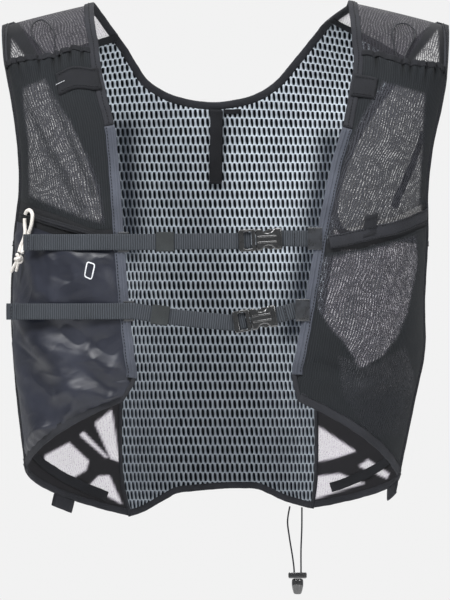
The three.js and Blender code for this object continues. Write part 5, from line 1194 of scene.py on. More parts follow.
for hand, front in fronts.items():
    top = row_reader(front, POCKETS[hand]["lower_top"])
    end_rows = np.linspace(0, 1, 40)
    hem_gap = np.array([front.last - 0.0075 / np.linalg.norm(
        front.at(share, front.last) - front.at(share, front.last - 1)) for share in end_rows])

    def end(share, hem_gap=hem_gap, end_rows=end_rows):
        return np.interp(share, end_rows, hem_gap)

    rows = 230 if hand == "left" else 130
    s, t, u, v = pocket_grid(hand, top, end, rows, 150 if hand == "left" else 90)
    base = front.at(u, v)
    folds = fold_height(base, NYLON_FOLDS if hand == "left" else STRETCH_FOLDS)
    fade = smooth_step(np.minimum(s, 1 - s), 0.0, 0.10) * smooth_step(np.minimum(t, 1 - t), 0.0, 0.06)
    puff = 0.8 * PUFF * np.sin(math.pi * s) * np.sin(math.pi * np.minimum(t + 0.12, 1))
    edge = np.minimum(np.minimum(s, 1 - s) * LOWER_WIDTH, (1 - t) * LOWER_LENGTH)
    lift = border_lift(edge) + puff + folds * fade * FOLD_STRENGTH[hand]
    lift = np.maximum(lift, 0.0002)
    if hand == "left":
        draws = np.random.default_rng(11)
        for _ in range(SMALL_WRINKLES):
            s0, t0, angle = draws.uniform(0, 1), draws.uniform(0, 1), draws.normal(0.9, 0.45)
            across = (s - s0) * 0.085 * math.cos(angle) + (t - t0) * LOWER_LENGTH * math.sin(angle)
            along = -(s - s0) * 0.085 * math.sin(angle) + (t - t0) * LOWER_LENGTH * math.cos(angle)
            size = draws.uniform(0.0022, 0.005)
            bump = np.exp(-(across / size) ** 2 - (along / (size * 4.5)) ** 2)
            lift = lift + draws.normal(0, 0.0004) * bump * fade
        lift = lift + 0.0004 * np.sin(s * 75) * np.exp(-((1 - t) / 0.05) ** 2)
        made, points = sheet_on("lower_pocket_nylon_left", front, u, v, nylon,
                                ["lower_pocket_left"], lift)
    else:
        window = [(THIN_PLACE, 0.22), (LOWER_WINDOW, 1.1)]
        made, points = sheet_on("lower_pocket_mesh_right", front, u, v, pocket_knit,
                                ["lower_pocket_right"], lift,
                                {"open": lambda p: painted_open(p, window, 0.05, 0.004),
                                 "shade": np.ones(s.shape)})
    pocket_meshes[(hand, "lower")] = (made, points)
    declare_sheet(made, points)

# %% [markdown]
# ## Tapes and bindings
# Every raw edge of the vest is covered by a folded elastic tape, and seams are covered by flat ones. A
# tape is a rounded strip that follows an edge: its path lies on the form, one axis runs into the cloth
# and the other stands on it. The rails beside the front opening are the stiffest tapes, so that the hooks
# of the straps can ride on them.

# %% Finishes of the tapes
binding = cloth("binding_tape", "191a1d", "3b3c41", rough=0.85, pattern=weave, pitch=0.55, relief=0.00015,
                fade=0.3)
rail_cloth = cloth("rail_cloth", "32353c", "5f636e", rough=0.55, pattern=ribs, pitch=0.6, relief=0.00008,
                   fade=0.35, turned=True)
black_tape = cloth("black_tape", "0d0e10", "2e2f33", rough=0.8, pattern=weave, pitch=0.5, relief=0.00015)
webbing = cloth("ribbed_webbing", "1b1e21", "4a4e54", rough=0.75, pattern=ribs, pitch=2.1, relief=0.0003,
                fade=0.15, fluff_size=0.35, fluff_share=0.3)
felt = cloth("keeper_felt", "222425", "434647", rough=0.9, pattern=weave, pitch=0.7, relief=0.0002,
             fade=0.4, fluff_size=0.6, fluff_share=0.7)
thread_dark = cloth("thread_dark", "0b0c0e", "1b1c20", rough=0.5, pattern=ribs, pitch=0.3, relief=0.00005)
thread_light = cloth("thread_light", "c9ccd2", "f2f3f5", rough=0.5, pattern=ribs, pitch=0.3, relief=0.00005)
print("tape finishes made")

# %% A tape along places of a form
STITCH_LINES = {"dark": [], "light": []}


def tape_along(name, form, u, v, side, width, thickness, material, replaced=(), start=0.0, lift=0.0,
               stitches=(), step=0.003, wobble=0.00015):
    fine = np.linspace(0, 1, max(int(arc_lengths(form.at(u, v))[-1] / step), 3) + 1)
    places = np.linspace(0, 1, len(u))
    u, v = np.interp(fine, places, u), np.interp(fine, places, v)
    path, normal = form.at(u, v), form.normal(u, v)
    across = unit(np.cross(tangents(path), normal)) * side
    return tape_on_path(name, path, across, normal, width, thickness, material, replaced, start, lift,
                        stitches, wobble)


def tape_on_path(name, path, across, normal, width, thickness, material, replaced=(), start=0.0,
                 lift=0.0, stitches=(), wobble=0.00015, thread="dark"):
    arcs = arc_lengths(path)
    waves = wobble * (np.sin(arcs * 260 + width * 900) + 0.6 * np.sin(arcs * 610))
    moved = path + normal * (lift + waves[:, None] * 0.7) + across * waves[:, None]
    section = rounded_section(width, thickness, middle=start + width / 2)
    made = swept(name, moved, across, normal, section, material, replaced)
    for offset in stitches:
        STITCH_LINES[thread].append((moved + across * offset + normal * (thickness / 2 + 0.00008), normal))
    return made


# %% Tapes of the back
def soften(path, normal, times):
    for _ in range(times):
        path[1:-1] = (path[:-2] + 2 * path[1:-1] + path[2:]) / 4
        normal[1:-1] = unit(normal[:-2] + 2 * normal[1:-1] + normal[2:])
    return unit(np.cross(tangents(path), normal))


tape_along("neck_tape", back, neck_u, neck_v, -1, 0.0072, 0.0034, binding, ["neck_binding"],
           stitches=(0.0060,))
for hand, sign in HANDS.items():
    edge = back_edge[hand]
    rows = np.linspace(0.0, sides[hand].back_top, 60)
    down_path = back.at(edge, rows)
    down_normal = back.normal(edge, rows)
    along_side = np.linspace(0.0, 0.995, 60)[1:]
    side_normal = sides[hand].normal(along_side, np.zeros(59) + 0.001)
    path = np.concatenate([down_path[:-2], sides[hand].at(along_side, 0.0)[1:]])
    normal = unit(np.concatenate([down_normal[:-2], side_normal[1:]]))
    across = soften(path, normal, 8) * sign
    tape_on_path(f"arm_tape_back_{hand}", path, across, normal, ARM_TAPE, 0.0030, binding,
                 [f"armhole_binding_back_{hand}"], stitches=(0.0055,))
    seam_u, seam_v = seam_places(hand, 14)
    tape_along(f"yoke_seam_tape_{hand}", back, seam_u, seam_v, -sign, 0.0080, 0.0012, black_tape,
               [f"yoke_seam_{hand}"], start=-0.004, lift=-0.0021)
    side_edge_rows = np.linspace(sides[hand].back_top + 0.2, back.row_at(edge, HEM_DOWN[hand]), 60)
    tape_along(f"side_seam_{hand}", back, np.full(60, edge), side_edge_rows, sign, 0.0036, 0.0028, binding,
               start=-0.0014)

# %% The hem tape runs round the left side, the back and the right side
def side_hem(hand):
    u = np.linspace(0.01, 0.995, 60)
    return sides[hand].at(u, np.ones(60)), sides[hand].normal(u, np.full(60, 0.999))


left_hem, left_hem_normal = side_hem("left")
right_hem, right_hem_normal = side_hem("right")
hem_path = np.concatenate([left_hem[::-1], back.at(hem_u, hem_v)[2:-2], right_hem])
hem_normal = np.concatenate([left_hem_normal[::-1], back.normal(hem_u, hem_v)[2:-2], right_hem_normal])
hem_across = soften(hem_path, hem_normal, 6)
tape_on_path("hem_tape", hem_path, hem_across, hem_normal, 0.0062, 0.0030, binding,
             ["hem_binding"], stitches=(0.0050,))

# %% Straps that cross the sides near the hem, and the tabs below it
SIDE_STRAP = (0.10, 0.92, 0.90, 0.86)
TAB_SPOTS = {"left": (0.48, 0.32), "right": (0.66, 0.92)}
for hand, sign in HANDS.items():
    t = np.linspace(0, 1, 30)
    tape_along(f"side_strap_tape_{hand}", sides[hand], mix(SIDE_STRAP[0], SIDE_STRAP[2], t),
               mix(SIDE_STRAP[1], SIDE_STRAP[3], t), 1, 0.0090, 0.0012, black_tape,
               [f"side_strap_{hand}"], start=-0.0045, lift=-0.0017)
    tab_u = np.linspace(*TAB_SPOTS[hand], 6)
    path, normal = sides[hand].at(tab_u, np.ones(6)), sides[hand].normal(tab_u, np.full(6, 0.999))
    across = unit(np.cross(tangents(path), normal))
    tape_on_path(f"hem_tab_fold_{hand}", path, across, normal, 0.0120, 0.0020, binding,
                 [f"hem_tab_{hand}"], start=-0.0118, stitches=(-0.0030, -0.0100))

# %% Tapes of the fronts
for hand, front in fronts.items():
    sign = HANDS[hand]
    rail_top, rail_end = (front.row_at(0, share) for share in RAIL_ENDS[hand])
    rows = np.linspace(0.0, rail_top - 0.02, 50)
    tape_along(f"front_edge_tape_{hand}", front, np.zeros(50), rows, sign, TAPE_WIDTH, 0.0028, binding,
               [f"front_edge_{hand}"], stitches=(0.0046,))
    rows = np.linspace(rail_top, rail_end, 80)
    tape_along(f"rail_tape_{hand}", front, np.zeros(80), rows, sign, 0.0098, 0.0030, rail_cloth,
               [f"rail_{hand}"], start=-0.0003, stitches=(0.0078,))
    tape_along(f"rail_ridge_{hand}", front, np.zeros(80), rows, sign, 0.0022, 0.0012, rail_cloth,
               start=0.0022, lift=0.0016, wobble=0.0)
    rows = np.linspace(0.0, front.last, 90)
    tape_along(f"arm_tape_front_{hand}", front, np.ones(90), rows, -sign, ARM_TAPE, 0.0028, binding,
               [f"armhole_binding_front_{hand}"], stitches=(0.0055,))
    across_share = np.linspace(0.0, 1.0, 50)
    tape_along(f"front_hem_tape_{hand}", front, across_share, np.full(50, front.last), sign, 0.0090, 0.0024,
               binding, [f"front_hem_{hand}"], stitches=(0.0078,))
    rows = np.linspace(rail_end - 0.05, front.last - 0.03, 14)
    tape_along(f"front_corner_tape_{hand}", front, np.zeros(14), rows, sign, 0.0042, 0.0026, binding)

# %% Elastic piping on the gathered pocket tops, and the tapes between the pockets
ZIP_LINE = [(-0.50, 0.451), (-0.55, 0.446), (-0.66, 0.430), (-0.755, 0.417), (-0.85, 0.403), (-0.90, 0.396)]
BAND_LINE = [(0.462, 0.455), (0.555, 0.447), (0.66, 0.435), (0.76, 0.424), (0.845, 0.408), (0.885, 0.400)]


def line_on_front(hand, table, count=70):
    places = through(np.array(table), np.linspace(0, len(table) - 1, count))
    return fronts[hand].locate(places[:, 0], places[:, 1])


for hand, (top_path, top_normal) in pocket_tops.items():
    across = unit(np.cross(tangents(top_path), top_normal)) * -HANDS[hand]
    tape_on_path(f"elastic_top_{hand}", top_path, across, top_normal, 0.0060, 0.0020, black_tape,
                 start=-0.001, lift=0.0004)

zip_u, zip_v = line_on_front("left", ZIP_LINE)
tape_along("zip_tape_left", fronts["left"], zip_u, zip_v, 1, 0.0062, 0.0012, black_tape,
           ["pocket_zip_left"], start=-0.0031, lift=0.0020)
tape_along("zip_teeth_left", fronts["left"], zip_u, zip_v, 1, 0.0018, 0.0014, black_tape,
           start=-0.0009, lift=0.0028)
band_u, band_v = line_on_front("right", BAND_LINE)
tape_along("pocket_band_tape_right", fronts["right"], band_u, band_v, 1, 0.0125, 0.0016, binding,
           ["pocket_band_right"], start=-0.0062, lift=0.0024, stitches=(-0.0050, 0.0050))
print("tapes of the fronts made")

# %% Dark strip of the second layer, seen through the right upper pocket
strip_u, strip_v = line_on_front("right", [(0.884, 0.236), (0.83, 0.305), (0.75, 0.385)], 50)
tape_along("inner_strip_right", fronts["right"], strip_u, strip_v, 1, 0.0085, 0.0010, black_tape,
           start=-0.0042, lift=-0.0012)

# %% [markdown]
# ## Chest straps
# Each strap is ribbed webbing that is held on the left rail by a flat hook, passes through a felt-like
# keeper and ends in a side-release buckle; a short strap leads from the buckle to the hook on the right
# rail. The webbing bends only where something holds it, so it is one strip along a smooth path through
# the same points as in the CAD frame.

# %% Where a hook sits on a rail
RAIL_FACE = 1.6 * MM
HOOK_PLATE = 1.4 * MM
WEB_THICK = 1.4 * MM
WEB_WIDTH = 15 * MM
FIT_GAP = 0.3 * MM
STRAP_MID = RAIL_FACE + HOOK_PLATE + FIT_GAP + WEB_THICK / 2
HOOK_START = 4.4 * MM
UP = WORLD_AXES[2]


def rail_seat(hand, down):
    front = fronts[hand]
    v = front.row_at(0, down)
    out = front.normal(front.inset(0, np.array([v]), TAPE_WIDTH / 2)[0], v)
    up = unit(UP - out * np.dot(UP, out))
    onto = np.cross(up, out) * (1 if hand == "right" else -1)
    return {"point": front.at(0.0, v), "out": out, "up": up, "onto": onto}


# %% Hooks
def hook(hand, name, down):
    seat = rail_seat(hand, down)
    face, back_wall = RAIL_FACE + HOOK_PLATE, RAIL_FACE + 1.4 * MM
    clear, start = 3.0 * MM, HOOK_START
    grip = [(3 * MM, -back_wall), (3 * MM, -RAIL_FACE), (-clear, -RAIL_FACE), (-clear, RAIL_FACE),
            (5.5 * MM, RAIL_FACE), (5.5 * MM, face)]
    slot_start, slot_half = start + 3.2 * MM, WEB_THICK + 0.8 * MM
    slot_face = slot_half + 1.4 * MM
    end = [(-start, face), (-start, -back_wall)] if hand == "left" else [
        (-start, face), (-start, slot_face), (-slot_start, slot_face), (-slot_start, slot_half),
        (-start, slot_half), (-start, -slot_half), (-slot_start, -slot_half), (-slot_start, -slot_face),
        (-start, -slot_face), (-start, -back_wall)]
    line = [p for p, q in zip(grip + end, (grip + end)[1:] + grip[:1]) if math.dist(p, q) > 1e-6]
    if hand == "right" and math.dist((-start, face), (-start, slot_face)) < 0.0011:
        line = [p for p in line if p != (-start, face)]
    height = (18.5 if hand == "left" else 20.0) * MM
    parts = [moulding(name, [line], height, 0.00032, seat["point"], (seat["onto"], seat["out"], seat["up"]))]
    joined_moulding(f"{name}_body", parts, grey_plastic, [name])
    return seat


STRAPS = [{"name": "upper", "left_down": 0.455, "right_down": 0.448, "buckle": (0.06, 0.4526, 0.06),
           "standoff": 5.8 * MM, "tail": 33 * MM, "keeper": 0.33, "sag": 0.0},
          {"name": "lower", "left_down": 0.592, "right_down": 0.590, "buckle": (0.037, 0.615, 0.166),
           "standoff": 8.4 * MM, "tail": 49 * MM, "keeper": 0.26, "sag": 1.2 * MM}]
for strap in STRAPS:
    strap["left"] = hook("left", f"hook_left_{strap['name']}", strap["left_down"])
    strap["right"] = hook("right", f"hook_right_{strap['name']}", strap["right_down"])
print("hooks:", 2 * len(STRAPS))

# %% [markdown]
# A side-release buckle has two mouldings. The male half is a ladder that grips the webbing and two prongs;
# the female half is a shell with cut-outs at its sides, where the prongs can be pressed, and two rounded
# ribs on its face. Each is a set of outlines with rounded edges, in the buckle's own axes: along, up and out.

# %% The two halves of a buckle
STRAP_HALF = WEB_WIDTH / 2 + FIT_GAP
BUCKLE_HALF = STRAP_HALF + 2.2 * MM
WEB_FACE = WEB_THICK / 2 + FIT_GAP
BODY_START = 15.5 * MM
BUCKLE_LENGTH = 40 * MM


def mirrored(upper):
    return upper + [(x, -y) for x, y in upper[::-1]]


def buckle(name, origin, axes):
    def slab(outlines, low, high, edge):
        return moulding(name, outlines, high - low, edge, origin, axes, (low + high) / 2)

    frame_outline = round_rectangle(0, -BUCKLE_HALF, BODY_START, BUCKLE_HALF, 2.0 * MM)
    window = round_rectangle(4.9 * MM, -STRAP_HALF, 12.0 * MM, STRAP_HALF, 0.9 * MM)[::-1]
    front_plate = slab([frame_outline, window], WEB_FACE, WEB_FACE + 2.6 * MM, 0.6 * MM)
    rear_holes = [round_rectangle(x0, -STRAP_HALF, x1, STRAP_HALF, 0.6 * MM)[::-1]
                  for x0, x1 in ((1.6 * MM, 5.6 * MM), (7.8 * MM, 12.0 * MM))]
    rear_plate = slab([frame_outline, *rear_holes], -WEB_FACE - 1.6 * MM, -WEB_FACE, 0.4 * MM)
    rails_of_ladder = [slab([round_rectangle(0.6 * MM, y0, 14.5 * MM, y1, 0.5 * MM)], -WEB_FACE - 1.2 * MM,
                            WEB_FACE + 2.0 * MM, 0.3 * MM)
                       for y0, y1 in ((STRAP_HALF + 0.1 * MM, BUCKLE_HALF - 0.3 * MM),
                                      (-BUCKLE_HALF + 0.3 * MM, -STRAP_HALF - 0.1 * MM))]
    base = slab([round_rectangle(12.2 * MM, -BUCKLE_HALF + 0.2 * MM, 15.4 * MM, BUCKLE_HALF - 0.2 * MM,
                                 0.8 * MM)], -WEB_FACE - 1.4 * MM, WEB_FACE + 2.4 * MM, 0.4 * MM)
    prong = [(15.0, 5.0), (15.0, 8.0), (22.0, 7.6), (26.0, 8.2), (28.0, 9.6), (31.0, 9.3), (33.5, 7.0),
             (33.5, 5.0)]
    prongs = [slab([[(x * MM, y * MM * sign) for x, y in prong][::sign]], -1.8 * MM, 1.8 * MM, 0.5 * MM)
              for sign in (1, -1)]
    joined_moulding(f"{name}_male", [front_plate, rear_plate, *rails_of_ladder, base, *prongs], black_plastic,
                    [f"buckle_male_{name}"])
    half_outline = [(15.9, 9.4), (16.5, 9.95), (20.6, 9.95), (21.8, 9.3), (22.8, 7.6), (24.2, 6.3),
                    (27.0, 5.8), (29.8, 6.3), (31.4, 7.8), (32.6, 9.4), (33.8, 9.95), (38.8, 9.95),
                    (39.7, 9.4), (40.0, 8.4)]
    shell = [(x * MM, y * MM) for x, y in half_outline]
    slot = round_rectangle(36.3 * MM, -STRAP_HALF + 0.4 * MM, 38.2 * MM, STRAP_HALF - 0.4 * MM,
                           0.7 * MM)[::-1]
    body = slab([mirrored(shell)], -3.75 * MM, 3.75 * MM, 1.3 * MM)
    ribs_on_face = [slab([round_rectangle(17.2 * MM, y - 1.0 * MM, 35.2 * MM, y + 1.0 * MM, 0.95 * MM)],
                         3.0 * MM, 4.5 * MM, 0.7 * MM) for y in (-2.6 * MM, 2.6 * MM)]
    lip = slab([round_rectangle(35.9 * MM, -STRAP_HALF, 38.6 * MM, STRAP_HALF, 1.0 * MM), slot], 3.2 * MM,
               4.2 * MM, 0.3 * MM)
    joined_moulding(f"{name}_female", [body, *ribs_on_face, lip], black_plastic,
                    [f"buckle_female_{name}"])


# %% A keeper: a felt sleeve round the webbing
def keeper(name, origin, axes):
    inner, outer = (WEB_WIDTH / 2 + FIT_GAP, WEB_FACE), (WEB_WIDTH / 2 + 1.5 * MM, WEB_FACE + 1.0 * MM)
    outlines = [round_rectangle(-outer[0], -outer[1], outer[0], outer[1], 1.2 * MM),
                round_rectangle(-inner[0], -inner[1], inner[0], inner[1], 0.5 * MM)[::-1]]
    local, faces, placed = moulding(name, outlines, 16.0 * MM, 0.2 * MM, origin, axes)
    uv = np.stack([local[:, 2], local[:, 0] + local[:, 1]], 1) * 1000
    made = piece(f"{name}_sleeve", placed, faces, felt, uv, [name])
    made.data.set_sharp_from_angle(angle=math.radians(50))


# %% The straps
def strap_frames(points):
    along = tangents(points)
    level = unit(UP - along * (along @ UP)[:, None])
    return level, unit(np.cross(along, level))


for strap in STRAPS:
    left, right = strap["left"], strap["right"]
    name = strap["name"]
    on_pocket = []
    for across, lift in ((-0.733, strap["standoff"]), (-0.644, strap["standoff"]),
                         (-0.57, (strap["standoff"] + STRAP_MID) / 2)):
        u, v = fronts["left"].locate([across], [strap["left_down"]])
        on_pocket.append(fronts["left"].at(u[0], v[0]) + fronts["left"].normal(u[0], v[0]) * lift)
    rail_point = left["point"] + left["onto"] * TAPE_WIDTH / 2 + left["out"] * STRAP_MID
    edge_point = left["point"] - left["onto"] * HOOK_START + left["out"] * STRAP_MID
    turn = 0.62
    tail_middle = on_pocket[0] + np.array([-math.cos(turn / 2), math.sin(turn / 2), 0]) * strap["tail"] / 2
    tail_end = tail_middle + np.array([-math.cos(turn), math.sin(turn), 0]) * strap["tail"] / 2
    slot_point = right["point"] - right["onto"] * (HOOK_START + 2.0 * MM)
    slope = (slot_point[1] - edge_point[1]) / (slot_point[0] - edge_point[0])
    buckle_x = strap["buckle"][0] * HALF_WIDTH
    start = np.array([buckle_x, edge_point[1] + slope * (buckle_x - edge_point[0]),
                      -strap["buckle"][1] * WORN_LENGTH])
    level = math.cos(strap["buckle"][2])
    along = unit(np.array([level, level * slope, math.sin(strap["buckle"][2])]))
    out = unit(np.array([slope, -1.0, 0.0]))
    height = unit(np.cross(out, along))
    buckle(name, start, (along, height, out))

    chest = [mix(edge_point, start, t) - [0, 0, strap["sag"] * math.sin(math.pi * t)] for t in (0.2, 0.4,
                                                                                                0.6, 0.8)]
    knots = np.array([tail_end, tail_middle, *on_pocket, rail_point, edge_point, *chest, start,
                      start + along * 11.7 * MM])
    path = resample(smooth_path(knots, 260), 0.0012)
    level_axis, normal = strap_frames(path)
    arcs = arc_lengths(path)
    if name == "lower":
        pinch = 0.5 * MM * np.exp(-((arcs - arcs[-1] + 0.030) / 0.004) ** 2) * np.sin((arcs - arcs[-1]) * 900)
        path = path + normal * np.abs(pinch)[:, None]
    tape_on_path(f"strap_{name}_webbing", path, level_axis, normal, WEB_WIDTH, WEB_THICK, webbing,
                 [f"strap_{name}"], start=-WEB_WIDTH / 2, wobble=0.0)
    fold = arcs < 0.0115
    tape_on_path(f"strap_{name}_end_fold", path[fold], level_axis[fold], normal[fold], WEB_WIDTH * 1.01,
                 WEB_THICK * 0.9, webbing, start=-WEB_WIDTH * 0.505, lift=WEB_THICK * 0.75,
                 wobble=0.0)
    column = int(np.argmin(np.abs(arcs - 0.0055)))
    bar = np.linspace(-WEB_WIDTH * 0.46, WEB_WIDTH * 0.46, 14)[:, None]
    STITCH_LINES["dark"].append((path[column] + level_axis[column] * bar + normal[column] * WEB_THICK * 1.25,
                                 np.repeat(normal[column][None], 14, 0)))
    sleeve = int(np.argmin(np.linalg.norm(path - mix(edge_point, start, strap["keeper"]), axis=1)))
    keeper(f"keeper_{name}", path[sleeve], (level_axis[sleeve], normal[sleeve],
                                            np.cross(level_axis[sleeve], normal[sleeve])))

    mouth = start + along * BUCKLE_LENGTH
    short = resample(np.array([start + along * 37.7 * MM, mouth, mix(mouth, slot_point, 0.5), slot_point]),
                     0.0012)
    short_level, short_normal = strap_frames(short)
    tape_on_path(f"strap_{name}_right_webbing", short, short_level, short_normal, WEB_WIDTH, 2.8 * MM,
                 webbing, [f"strap_{name}_right"], start=-WEB_WIDTH / 2, wobble=0.0)
    middle = len(short) // 2
    STITCH_LINES["dark"].append((short[middle] + short_level[middle] * bar + short_normal[middle] * 1.5 * MM,
                                 np.repeat(short_normal[middle][None], 14, 0)))
    print("strap", name, round(arcs[-1] * 1000), "mm long")

# %% [markdown]
# ## Loop, label place and tabs
# A folded black tape hangs below the neck to hang the vest up, with a small black patch beside it. Both are
# left bare. Three elastic tabs lie over the pockets: their tapes follow the puffed cloth below.

# %% Hang loop and patch
LOOP_WIDTH, LOOP_THICK, LOOP_LENGTH, LOOP_OPEN = 11.5 * MM, 1.2 * MM, 70 * MM, 3.2 * MM
INSIDE_LIFT = 2.7 * MM


def loop_point(down, lift):
    u, v = back.locate([-0.04], [0.186 + down / WORN_LENGTH])
    return back.at(u[0], v[0]) - back.normal(u[0], v[0]) * lift


near_lift, far_lift = INSIDE_LIFT + LOOP_THICK / 2, INSIDE_LIFT + LOOP_THICK / 2 + LOOP_OPEN
straight = [loop_point(t * (LOOP_LENGTH - LOOP_OPEN), near_lift) for t in np.linspace(0, 1, 6)]
bend = [loop_point(LOOP_LENGTH - LOOP_OPEN + LOOP_OPEN / 2 * math.sin(math.pi * t),
                   (near_lift + far_lift) / 2 - LOOP_OPEN / 2 * math.cos(math.pi * t)) for t in (0.25, 0.5,
                                                                                                 0.75)]
returning = [loop_point(t * (LOOP_LENGTH - LOOP_OPEN), far_lift) for t in np.linspace(1, 0, 6)]
loop_path = smooth_path(np.array([*straight, *bend, *returning]), 90)
loop_across = np.repeat(WORLD_AXES[:1], 90, 0)
loop_normal = unit(np.cross(tangents(loop_path), loop_across))
loop_arcs = arc_lengths(loop_path)
loop_path = loop_path + loop_across * (0.5 * MM * np.sin(loop_arcs * 55))[:, None]
tape_on_path("hang_loop_tape", loop_path, loop_across, loop_normal, LOOP_WIDTH, LOOP_THICK, black_tape,
             ["hang_loop"], start=-LOOP_WIDTH / 2)
patch_u, patch_v = back.locate(0.033 + np.linspace(-0.5, 0.5, 9) * 16 * MM / HALF_WIDTH, np.full(9, 0.190))
tape_along("neck_patch", back, patch_u, patch_v, 1, 4.6 * MM, 0.8 * MM, black_tape,
           ["neck_label"], start=-2.3 * MM, lift=-INSIDE_LIFT - 0.4 * MM)

# %% Tabs over the pockets
TABS = [("elastic_tab_left", "left", -0.05, 0.31, 0.20, 0.345),
        ("elastic_tab_right", "right", -0.06, 0.13, 0.225, 0.37),
        ("mid_tab_right", "right", 0.235, 0.335, 0.97, 1.05)]
for name, hand, inner, outer, top_share, end_share in TABS:
    front = fronts[hand]
    top, end = (row_reader(front, POCKETS[hand][key]) for key in ("upper_top", "upper_end"))
    s, share = np.meshgrid(np.linspace(inner, outer, 25), np.linspace(top_share, end_share, 17))
    v = mix(top(s), end(s), share)
    u = mix(front.inset(0, v, tape_clear(hand, v)), front.inset(1, v, ARM_TAPE), s)
    over = LIFT_OVER_FRONT + PLEAT_RISE * smooth_step(PLEAT_LENGTH - share, 0, PLEAT_LENGTH) + PUFF * np.sin(
        math.pi * np.clip(s, 0, 1)) * np.sin(math.pi * np.minimum(share + 0.12, 1)) + 0.5 * MM
    rows = np.linspace(0, 1, 17)[:, None]
    columns = np.linspace(0, 1, 25)[None, :]
    round_edge = np.minimum(np.minimum(rows, 1 - rows) / 0.06, np.minimum(columns, 1 - columns) / 0.04)
    seams = 0.9 * MM * np.exp(-((np.minimum(rows, 1 - rows) - 0.10) / 0.06) ** 2)
    thick = 1.5 * MM * np.sqrt(np.clip(round_edge, 0.15, 1)) + seams
    base, normal = front.at(u, v), front.normal(u, v)
    lower, upper = base + normal * over[..., None], base + normal * (over + thick)[..., None]
    count = 17 * 25
    border = [*range(25), *range(49, count, 25), *range(count - 2, count - 26, -1),
              *range(count - 50, 0, -25)]
    rim = [(i, j, j + count, i + count) for i, j in zip(border, border[1:] + border[:1])]
    faces = [*quads(17, 25), *(quads(17, 25)[:, ::-1] + count), *rim]
    uv = np.stack([base[..., 0], base[..., 2]], -1) * 1000
    piece(f"{name}_tape", np.stack([lower, upper]), faces, black_tape, np.stack([uv, uv]),
          [name], closed=True)
    for row in (2, 14) if name != "mid_tab_right" else ():
        STITCH_LINES["dark"].append((upper[row, 1:-1] + normal[row, 1:-1] * 0.1 * MM, normal[row, 1:-1]))
print("tabs:", len(TABS))

# %% [markdown]
# ## Marks and stitching
# The nylon pocket shows a small outline of a telephone: a plain rounded rectangle, heat-pressed as a thin
# film. A white thread tack holds the left tab. Each stitch of a seam is a short rounded body that dips
# into the tape at both ends, because at this scale rows of stitches catch the light one by one.

# %% The film outline and the tack
nylon_points = pocket_meshes[("left", "lower")][1]
nylon_tree = BVHTree.FromPolygons([Vector(p) for p in nylon_points.reshape(-1, 3)],
                                  [list(face) for face in quads(*nylon_points.shape[:2])])


def on_cloth(tree, x, z, lift):
    hit, normal, *_ = tree.ray_cast(Vector((x, -1, z)), Vector((0, 1, 0)))
    normal = np.array(normal) * (-1 if normal[1] > 0 else 1)
    return np.array(hit) + normal * lift, normal


corner_shares = np.array([(-0.609, 0.494), (-0.575, 0.499), (-0.590, 0.529), (-0.621, 0.523)])
corners = corner_shares * (HALF_WIDTH, -WORN_LENGTH)
outline_points = []
for k in range(4):
    before, here, after = corners[k - 1], corners[k], corners[(k + 1) % 4]
    first, last = here + (before - here) * 0.22, here + (after - here) * 0.22
    for t in np.linspace(0, 1, 5):
        outline_points.append(mix(mix(first, here, t), mix(here, last, t), t))
outline_points = np.array(outline_points + outline_points[:1])
dense = np.stack([np.interp(np.linspace(0, 20, 81), np.arange(21), outline_points[:, k]) for k in (0, 1)], 1)
film = [on_cloth(nylon_tree, x, z, 0.00022) for x, z in dense]
film_path, film_normal = np.array([f[0] for f in film]), np.array([f[1] for f in film])
film_across = unit(np.cross(tangents(film_path), film_normal))
tape_on_path("pocket_outline_film", film_path, film_across, film_normal, 1.15 * MM, 0.35 * MM, thread_light,
             start=-0.57 * MM, wobble=0.0)


# %% Stitches
def stitch_piece(name, lines, material, pitch=3.0 * MM, length=2.0 * MM, radius=0.40 * MM):
    points, faces, uv = [], [], []
    sides_of_thread = 5
    angles = np.linspace(0, TURN, sides_of_thread, endpoint=False)
    stations = ((-0.5, 0.35, -0.25), (-0.36, 1.0, 0.1), (0.0, 1.0, 0.35), (0.36, 1.0, 0.1),
                (0.5, 0.35, -0.25))
    for path, normal in lines:
        arcs = arc_lengths(path)
        for middle in np.arange(pitch * 0.6, arcs[-1] - pitch * 0.4, pitch):
            here = np.array([np.interp(middle, arcs, path[:, k]) for k in range(3)])
            ahead = np.array([np.interp(middle + 0.0005, arcs, path[:, k]) for k in range(3)])
            out = unit(np.array([np.interp(middle, arcs, normal[:, k]) for k in range(3)]))
            along = unit(ahead - here)
            side = np.cross(along, out)
            start = len(points) * sides_of_thread * len(stations)
            body = [here + along * share * length + out * radius * rise
                    + (side[None] * np.cos(angles)[:, None] + out[None] * np.sin(angles)[:, None]) * radius
                    * thick for share, thick, rise in stations]
            points.append(np.concatenate(body))
            count = sides_of_thread
            faces += [*(quads(len(stations), count, closed=True) + start), range(start, start + count)[::-1],
                      range(start + count * (len(stations) - 1), start + count * len(stations))]
    points = np.concatenate(points)
    made = piece(name, points, faces, material, np.stack([points[:, 0], points[:, 2]], 1) * 1000,
                 closed=True)
    print(name, "stitches:", len(points) // (sides_of_thread * len(stations)))
    return made


tack_ends = np.array([(-0.748, 0.144), (-0.702, 0.134)]) * (HALF_WIDTH, -WORN_LENGTH)
upper_points = pocket_meshes[("left", "upper")][1]
upper_tree = BVHTree.FromPolygons([Vector(p) for p in upper_points.reshape(-1, 3)],
                                  [list(face) for face in quads(*upper_points.shape[:2])])
tack = [on_cloth(upper_tree, *mix(tack_ends[0], tack_ends[1], t), 0.0030) for t in np.linspace(0, 1, 12)]
STITCH_LINES["light"].append((np.array([p for p, _ in tack]), np.array([n for _, n in tack])))
stitch_piece("dark_stitching", STITCH_LINES["dark"], thread_dark)
stitch_piece("white_tack", STITCH_LINES["light"], thread_light, pitch=2.4 * MM, length=2.2 * MM,
             radius=0.22 * MM)

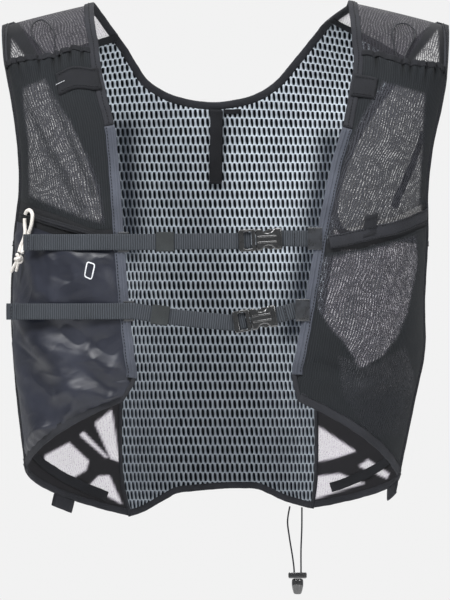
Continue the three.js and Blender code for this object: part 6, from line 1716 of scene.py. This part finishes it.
# %% [markdown]
# ## Floor and light
# A pale floor below the vest and a pale world give a plain studio. Large soft lamps from above left and
# from the right make the yarn, the webbing ribs and the nylon folds read, without hard shadows.

# %% Floor
floor_mesh = bpy.data.meshes.new("floor")
floor_shape = bmesh.new()
bmesh.ops.create_circle(floor_shape, cap_ends=True, radius=1.2, segments=96)
floor_shape.to_mesh(floor_mesh)
floor_shape.free()
floor = bpy.data.objects.new("floor", floor_mesh)
floor.location = (0, 0, -0.64)
stage_scene.collection.objects.link(floor)
floor_finish = bpy.data.materials.new("floor_finish")
floor_finish.use_nodes = True
floor_tree = floor_finish.node_tree
floor_noise = add_node(floor_tree, "ShaderNodeTexNoise", {"Scale": 3.0})
floor_tree.links.new(blend_colours(floor_tree, floor_noise.outputs[0], tone("eeeeee"), tone("f2f2f2")),
                     floor_tree.nodes["Principled BSDF"].inputs["Base Color"])
floor_mesh.materials.append(floor_finish)

# %% World and lamps
world = bpy.data.worlds.new("studio")
stage_scene.world = world
world.use_nodes = True
sky = world.node_tree
sky.nodes.clear()
seen = add_node(sky, "ShaderNodeBackground", {"Color": (0.887, 0.887, 0.887, 1.0), "Strength": 1.0})
lighting = add_node(sky, "ShaderNodeBackground", {"Color": (0.95, 0.97, 1.0, 1.0), "Strength": 0.30})
rays = add_node(sky, "ShaderNodeLightPath")
both = add_node(sky, "ShaderNodeMixShader", {0: rays.outputs["Is Camera Ray"], 1: lighting.outputs[0],
                                              2: seen.outputs[0]})
add_node(sky, "ShaderNodeOutputWorld", {"Surface": both.outputs[0]})


def lamp(name, place, target, size, power):
    data = bpy.data.lights.new(name, "AREA")
    data.energy = power
    data.size = size
    made = bpy.data.objects.new(name, data)
    made.location = place
    made.rotation_euler = (Vector(target) - Vector(place)).to_track_quat("-Z", "Y").to_euler()
    stage_scene.collection.objects.link(made)


lamp("key_lamp", (-1.3, -1.6, 1.5), (0, 0, -0.25), 0.7, 66)
lamp("fill_lamp", (1.7, -1.6, 0.5), (0, 0, -0.25), 0.7, 22)
lamp("high_lamp", (0.2, -1.3, 1.5), (0, 0, -0.25), 0.8, 22)
lamp("back_lamp", (0.3, 1.6, 1.2), (0, 0, -0.2), 1.2, 18)
